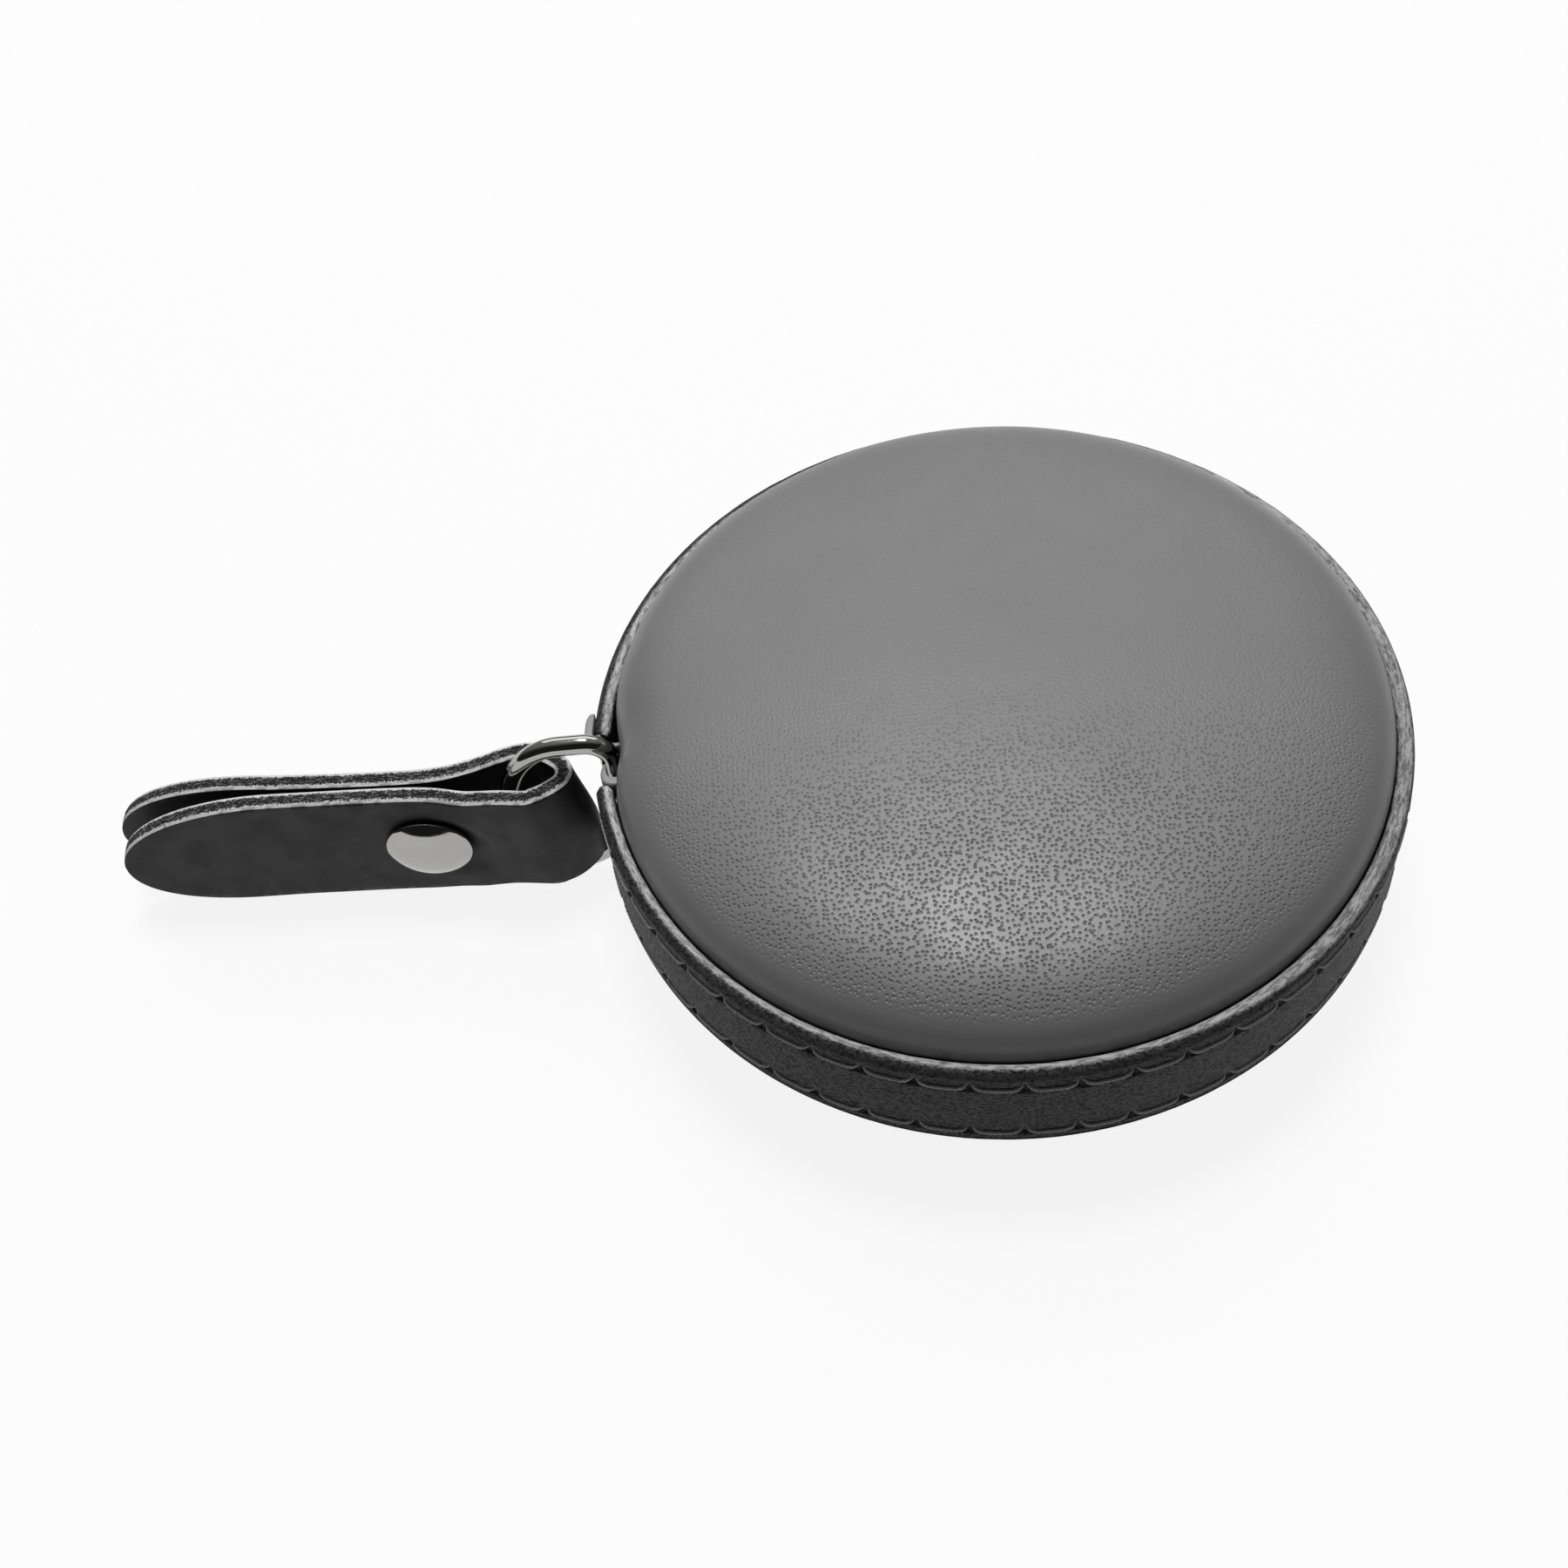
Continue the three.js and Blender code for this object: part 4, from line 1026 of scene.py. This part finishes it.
coil = dress(button_coil(), SPRING, "case", "spring_steel", "button_spring")
top_foam = dress(foam_pad("top_foam", BUTTON_R + 2 * FIT, 0, 1), FOAM, "case", "foam", "top_pad")
bottom_foam = dress(foam_pad("bottom_foam", 0, REST_FLAT_R, -1), FOAM, "case", "foam", "bottom_pad")
dress(tape_coil(), TAPE, "reel", "tape_cloth", "tape_coil")
dress(brake_felt(), FELT, "button", "felt", "brake_disc")
strip = tape_lead()
strip.data.materials.append(TAPE)
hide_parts("tape_lead")
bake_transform(strip)


# Ring, tab and rivet

def clip():
    """Metal sheet bent round the ring's bar, with two jaws on the tape's end and a lower loop."""
    inner = WIRE_R + CLIP_PLAY
    outer = inner + CLIP_SHEET
    jaw_in = TAPE_THICKNESS / 2 + JAW_PLAY
    jaw_out = jaw_in + CLIP_SHEET
    far = math.degrees(math.asin(jaw_out / outer))
    near = math.degrees(math.asin(jaw_in / inner))
    outline = np.concatenate([
        [[CLIP_END_X, jaw_out]], arc(BAR_X, 0, outer, outer, far, 360 - far, 40),
        [[CLIP_END_X, -jaw_out], [CLIP_END_X, -jaw_in]], arc(BAR_X, 0, inner, inner, 360 - near, near, 40),
        [[CLIP_END_X, jaw_in]],
    ])
    half = TAPE_HALF - JAW_PLAY
    piece = prism("end_clip", outline, -half, half, 0.06)
    low = Z0 - half
    share = (CLIP_LOOP_TOP_REL + half) / (2 * half)
    for vertex in piece.data.vertices:
        wide = smooth(BAR_X + CLIP_WIDENS[0], BAR_X + CLIP_WIDENS[1], vertex.co.x / MM)
        vertex.co.z = (low + (vertex.co.z / MM - low) * (share + (1 - share) * wide)) * MM
    return piece


def d_ring():
    """Ring of round polished wire: straight bar in the mouth, round side in the tab's loop."""
    middle = (RING_TOP_REL + RING_BOTTOM_REL) / 2
    half = (RING_TOP_REL - RING_BOTTOM_REL) / 2
    c = RING_CORNER
    low = RING_LOW_CORNER
    outline = np.concatenate([
        [[BAR_X, middle - 1], [BAR_X, middle + 1], [BAR_X, RING_TOP_REL - 2 * c]],
        arc(BAR_X - c, RING_TOP_REL - c, c, c, 0, 90, 6),
        arc(RING_ARC_X, middle, RING_ARC_DEPTH, half, *RING_ARC, 22),
        arc(BAR_X - low, RING_BOTTOM_REL + low, low, low, *RING_LOW_ARC, 8),
        [[BAR_X, RING_BOTTOM_REL + low + RING_LOW_STRAIGHT], [BAR_X, middle - 1]],
    ])
    line = at_shares(spline(outline, 2400)[:-1], np.linspace(0, 1, RING_STEPS + 1)[:-1])
    path = [[x, 0, rel + Z0] for x, rel in line]
    return make("ring_wire", *tube_mesh(path, WIRE_R, 32, True))


def tab_frame(points):
    """From the tab's own place, with x along the strip as drawn, to its turned place on the ring."""
    to_leaf = smooth(*TAB_OFFSET_X, points[:, 0])
    local = points - [TAB_PIVOT_X, 0, 0]
    local[:, 1] += TAB_OFFSET_Y + (TAB_LEAF_OFFSET_Y - TAB_OFFSET_Y) * to_leaf
    c, s = math.cos(TAB_YAW), math.sin(TAB_YAW)
    turned = np.stack([c * local[:, 0] - s * local[:, 1], s * local[:, 0] + c * local[:, 1], local[:, 2]], -1)
    return turned + [TAB_PIVOT_X, 0, Z0]


def tab_tip(y):
    """Where each leaf ends: the rear one reaches a little further."""
    return TAB_TIP_X - TAB_BACK_PAST * (y > 0)


def tab_edges(x, tip):
    """Lower and upper edge of the strip at x, seen from the side."""
    fold = TAB_FOLD_X + TAB_CORNER_PAST
    low = TAB_BOTTOM_REL - TAB_LOW_DROP + (TAB_LOW_DROP + TAB_LOW_RISE) * smooth(*TAB_LOW_RISE_X, x)
    high = TAB_TOP_REL - TAB_SAG * smooth(TAB_FOLD_X - TAB_CORNER, RIVET_X + RIVET_CAP_R, x)
    nose = low + TAB_NOSE * (high - low)

    def round_end(length, power):
        share = np.clip((tip + length - x) / length, 0, 1)
        return np.maximum(1 - share ** power, 0) ** (1 / power)

    low = nose - (nose - low) * round_end(TAB_TIP_LENGTH, TAB_TIP_POWER)
    high = nose + (high - nose) * round_end(TAB_TOP_TIP_LENGTH, TAB_TOP_TIP_POWER)

    def corner(radius):
        past = np.clip(x - (fold - radius), 0, radius)
        return radius - np.sqrt(np.maximum(radius ** 2 - past ** 2, 0))

    return low + corner(TAB_CORNER), high - corner(TAB_TOP_CORNER)


def tab_spine():
    """Middle line of the strip in plan, from the front leaf's tip round the fold to the rear leaf's tip."""
    leaf = TAB_HALF_GAP + TAB_LEATHER / 2
    fold = TAB_FOLD_X - TAB_LEATHER / 2
    turn = TAB_TIP_X + TAB_TIP_LENGTH
    loop = [
        ((turn + RIVET_X - RIVET_CAP_R) / 2, leaf), (RIVET_X, leaf),
        ((RIVET_X + TAB_LOOP_X) / 2, (leaf + TAB_LOOP_HALF) / 2), (TAB_LOOP_X, TAB_LOOP_HALF),
    ] + [(fold + (TAB_LOOP_X - fold) * run, TAB_LOOP_HALF * width) for run, width in TAB_FOLD_SHAPE]

    def side_line(splay):
        return [(TAB_TIP_X - TAB_LEATHER, leaf + splay), (turn, leaf + splay * TAB_SPLAY_AT_TURN)] + loop

    front = [(x, -y) for x, y in side_line(TAB_SPLAY)]
    dense = spline(front + [(fold, 0)] + side_line(TAB_BACK_SPLAY)[::-1], 6000)
    kept = dense[dense[:, 0] > tab_tip(dense[:, 1]) + 0.004]
    eased = 0.5 - 0.5 * np.cos(np.linspace(0, math.pi, TAB_ROWS))
    return at_shares(kept, TAB_ROWS_EASED * eased + (1 - TAB_ROWS_EASED) * np.linspace(0, 1, TAB_ROWS))


def tab_section():
    """Points round a cut of the strip: offset from the spine, share of the height, edge (1 upper, -1 lower)
    and level across the leather, from its outer face to its inner one."""
    half = TAB_LEATHER / 2
    face = np.linspace(0, 1, TAB_FACE_STEPS)
    edge = np.linspace(0, 1, TAB_EDGE_STEPS)[1:-1]
    outer = [(half, share, 0, 0) for share in face]
    upper = [(half - TAB_LEATHER * level, 1, 1, level) for level in edge]
    inner = [(-half, 1 - share, 0, 1) for share in face]
    lower = [(TAB_LEATHER * level - half, 0, -1, 1 - level) for level in edge]
    return np.array(outer + upper + inner + lower).T


def shape_tab(points, outer, edge):
    """Presses the rivet into the outer faces, leans the fold and frays the cut edges, in place."""
    off = np.hypot(points[:, 0] - RIVET_X, points[:, 2] - RIVET_REL)
    dimple = RIVET_DIMPLE_SLOPE * np.maximum(off - RIVET_CAP_R - RIVET_DIMPLE_MARGIN, 0)
    limit = RIVET_FACE - RIVET_BITE + dimple
    points[:, 1] = np.where(outer, np.clip(points[:, 1], -limit, limit), points[:, 1])
    lean = TAB_LEAN_TOP + (TAB_LEAN_LOW - TAB_LEAN_TOP) * smooth(*TAB_LEAN_REL, points[:, 2])
    points[:, 0] += lean * smooth(RIVET_X + RIVET_CAP_R, TAB_FOLD_X, points[:, 0])
    points[:, 2] += np.abs(edge) * rough(points, TAB_FRAY)


def pull_tab():
    """One leather strip folded on the ring, its leaves pressed together by the rivet, with raw cut edges."""
    spine = tab_spine()
    outward = -square_to(spine)
    low, high = tab_edges(spine[:, 0], tab_tip(spine[:, 1]))
    room = np.minimum(TAB_CUT_ROUND, (high - low) * 0.3)
    offset, share, edge, level = tab_section()
    rows, count = len(spine), len(offset)
    bulge = edge * (1 - (2 * level - 1) ** 4)
    points = np.zeros((rows, count, 3))
    points[:, :, :2] = spine[:, None] + outward[:, None] * offset[:, None]
    points[:, :, 2] = (low + room)[:, None] + np.outer(high - low - 2 * room, share) + np.outer(room, bulge)
    points = points.reshape(-1, 3)
    shape_tab(points, np.tile(level == 0, rows), np.tile(edge, rows))
    piece = make("leather_tab", tab_frame(points), ring_faces(rows, count), TAB_SHARP)
    keep_values(piece, "across", np.tile(level, rows))
    piece.data.materials.append(TAB)
    piece.data.materials.append(EDGE)
    raw = (edge != 0) | (np.roll(edge, -1) != 0)
    flags = np.concatenate([np.tile(raw, rows - 1), [True, True]])
    piece.data.polygons.foreach_set("material_index", flags.astype(np.int32))
    hole = [[0, -RIVET_HOLE_HALF], [RIVET_HOLE_R, -RIVET_HOLE_HALF],
            [RIVET_HOLE_R, RIVET_HOLE_HALF], [0, RIVET_HOLE_HALF]]
    return carve(piece, rivet_part("hole", hole, 1), sharp=TAB_SHARP)


def rivet_part(name, profile, side):
    """A turned body on the rivet's axis, across the tab; its heights run to the front for side 1."""
    body = lathe(name, profile, RIVET_STEPS)
    upright = Matrix.Translation((0, 0, -Z0 * MM))
    turn = Matrix.Rotation(side * math.pi / 2, 4, "X")
    shift = Matrix.Translation(Vector((RIVET_X - TAB_PIVOT_X, TAB_LEAF_OFFSET_Y, RIVET_REL)) * MM)
    yaw = Matrix.Rotation(TAB_YAW, 4, "Z")
    place = Matrix.Translation(Vector((TAB_PIVOT_X, 0, Z0)) * MM)
    body.data.transform(place @ yaw @ shift @ turn @ upright)
    return body


def cap_profile():
    """Cap shaped like the top of a ball, with a rounded brim, from the brim's edge to the crown."""
    low = RIVET_FACE
    brim = arc(RIVET_CAP_R - RIVET_BRIM, low + RIVET_BRIM, RIVET_BRIM, RIVET_BRIM, -90, 40, 7)
    foot, height = brim[-1]
    rise = low + RIVET_CAP_H - height
    ball = (foot ** 2 + rise ** 2) / (2 * rise)
    slope = math.degrees(math.asin(foot / ball))
    dome = arc(0, low + RIVET_CAP_H - ball, ball, ball, 90 - slope, 90, 28)
    dome[-1, 0] = 0
    return np.concatenate([brim, dome[1:]])


def rivet_front():
    """Front cap with its post."""
    r, end = RIVET_POST_R, RIVET_POST_END
    post = [[0, end], [r - RIVET_POST_ROUND, end], [r, end + RIVET_POST_ROUND], [r, RIVET_FACE]]
    return rivet_part("rivet_front", np.concatenate([post, cap_profile()]), 1)


def rivet_rear():
    return rivet_part("rivet_rear", np.concatenate([[[0, RIVET_FACE]], cap_profile()]), -1)


dress(clip(), NICKEL, "tape_end", "nickel", "tape_end_clip")
dress(d_ring(), NICKEL, "link", "nickel", "d_ring")
dress(pull_tab(), TAB, "tab", "tab_leather", "pull_tab")
dress(rivet_front(), NICKEL, "tab", "nickel", "rivet_cap")
dress(rivet_rear(), NICKEL, "tab", "nickel", "rivet_back")

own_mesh(coil)
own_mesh(top)
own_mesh(top_foam)


# Stage, light and camera

def softbox(name, at, size, watts):
    """Rectangular lamp that faces the case."""
    light = bpy.data.lights.new(name, "AREA")
    light.shape = "RECTANGLE"
    light.size, light.size_y = size[0] * MM, size[1] * MM
    light.energy = watts
    lamp = bpy.data.objects.new(name, light)
    lamp.location = Vector(at) * MM
    lamp.rotation_euler = (Vector(LAMP_AIM) - Vector(at)).to_track_quat("-Z", "Y").to_euler()
    bpy.context.scene.collection.objects.link(lamp)


def floor():
    """Large pale floor. What the camera and shiny surfaces see of it is lifted towards white, and keeps the
    shadow."""
    corners = rectangle(-FLOOR_HALF, FLOOR_HALF, -FLOOR_HALF, FLOOR_HALF)
    plane = make("floor", [[x, y, FLOOR_Z] for x, y in corners], [(0, 1, 2, 3)])
    material = bpy.data.materials.new("floor")
    material.use_nodes = True
    nodes = Nodes(material.node_tree)
    rays = nodes.node("ShaderNodeLightPath").outputs
    seen = nodes.math("MAXIMUM", rays["Is Camera Ray"], rays["Is Glossy Ray"])
    seen = nodes.math("MAXIMUM", seen, rays["Is Transmission Ray"])
    tone = nodes.node("ShaderNodeMapRange", {"Value": seen, "To Min": FLOOR_BOUNCE, "To Max": FLOOR_TONE})
    shader = nodes.tree.nodes["Principled BSDF"]
    nodes.feed(shader.inputs["Base Color"], tone.outputs["Result"])
    nodes.feed(shader.inputs["Roughness"], 0.9)
    nodes.feed(shader.inputs["Specular IOR Level"], 0.0)
    white = nodes.node("ShaderNodeEmission", {"Strength": 1.0})
    lift = nodes.times(seen, FLOOR_LIFT)
    mix = nodes.node("ShaderNodeMixShader", {"Fac": lift, 1: shader.outputs[0], 2: white.outputs[0]})
    nodes.feed(nodes.tree.nodes["Material Output"].inputs["Surface"], mix.outputs[0])
    plane.data.materials.append(material)


def sky():
    """Room light: dark towards the front, paler overhead and behind. The camera sees it nearly white."""
    world = bpy.data.worlds.new("room")
    world.use_nodes = True
    bpy.context.scene.world = world
    nodes = Nodes(world.node_tree)
    place = nodes.node("ShaderNodeTexCoord").outputs["Generated"]
    facing = nodes.node("ShaderNodeVectorMath", {0: place, 1: ROOM_PALE_TOWARDS}, operation="DOT_PRODUCT")
    light = nodes.range(facing.outputs["Value"], *ROOM_CHANGE, ROOM_DARK, ROOM_PALE)
    seen = nodes.node("ShaderNodeLightPath").outputs["Is Camera Ray"]
    shown = nodes.node("ShaderNodeMix", {"Factor": seen, "A": light, "B": ROOM_SHOWN}, data_type="FLOAT")
    nodes.feed(nodes.tree.nodes["Background"].inputs["Color"], shown.outputs["Result"])


def camera():
    data = bpy.data.cameras.new("camera")
    data.sensor_width = CAMERA_SENSOR
    data.lens = CAMERA_LENS
    data.clip_start = CAMERA_NEAR * MM
    eye = bpy.data.objects.new("camera", data)
    turn = Euler([math.radians(angle) for angle in CAMERA_TURN]).to_matrix().to_4x4()
    eye.matrix_world = Matrix.Translation(Vector(CAMERA_AT) * MM) @ turn
    bpy.context.scene.collection.objects.link(eye)
    bpy.context.scene.camera = eye


floor()
sky()
camera()
softbox("overhead", at=(0, 160, 620), size=(160, 160), watts=2.55)
softbox("behind", at=(0, 750, 600), size=(1200, 500), watts=3.0)
bpy.context.scene.view_settings.view_transform = "Standard"
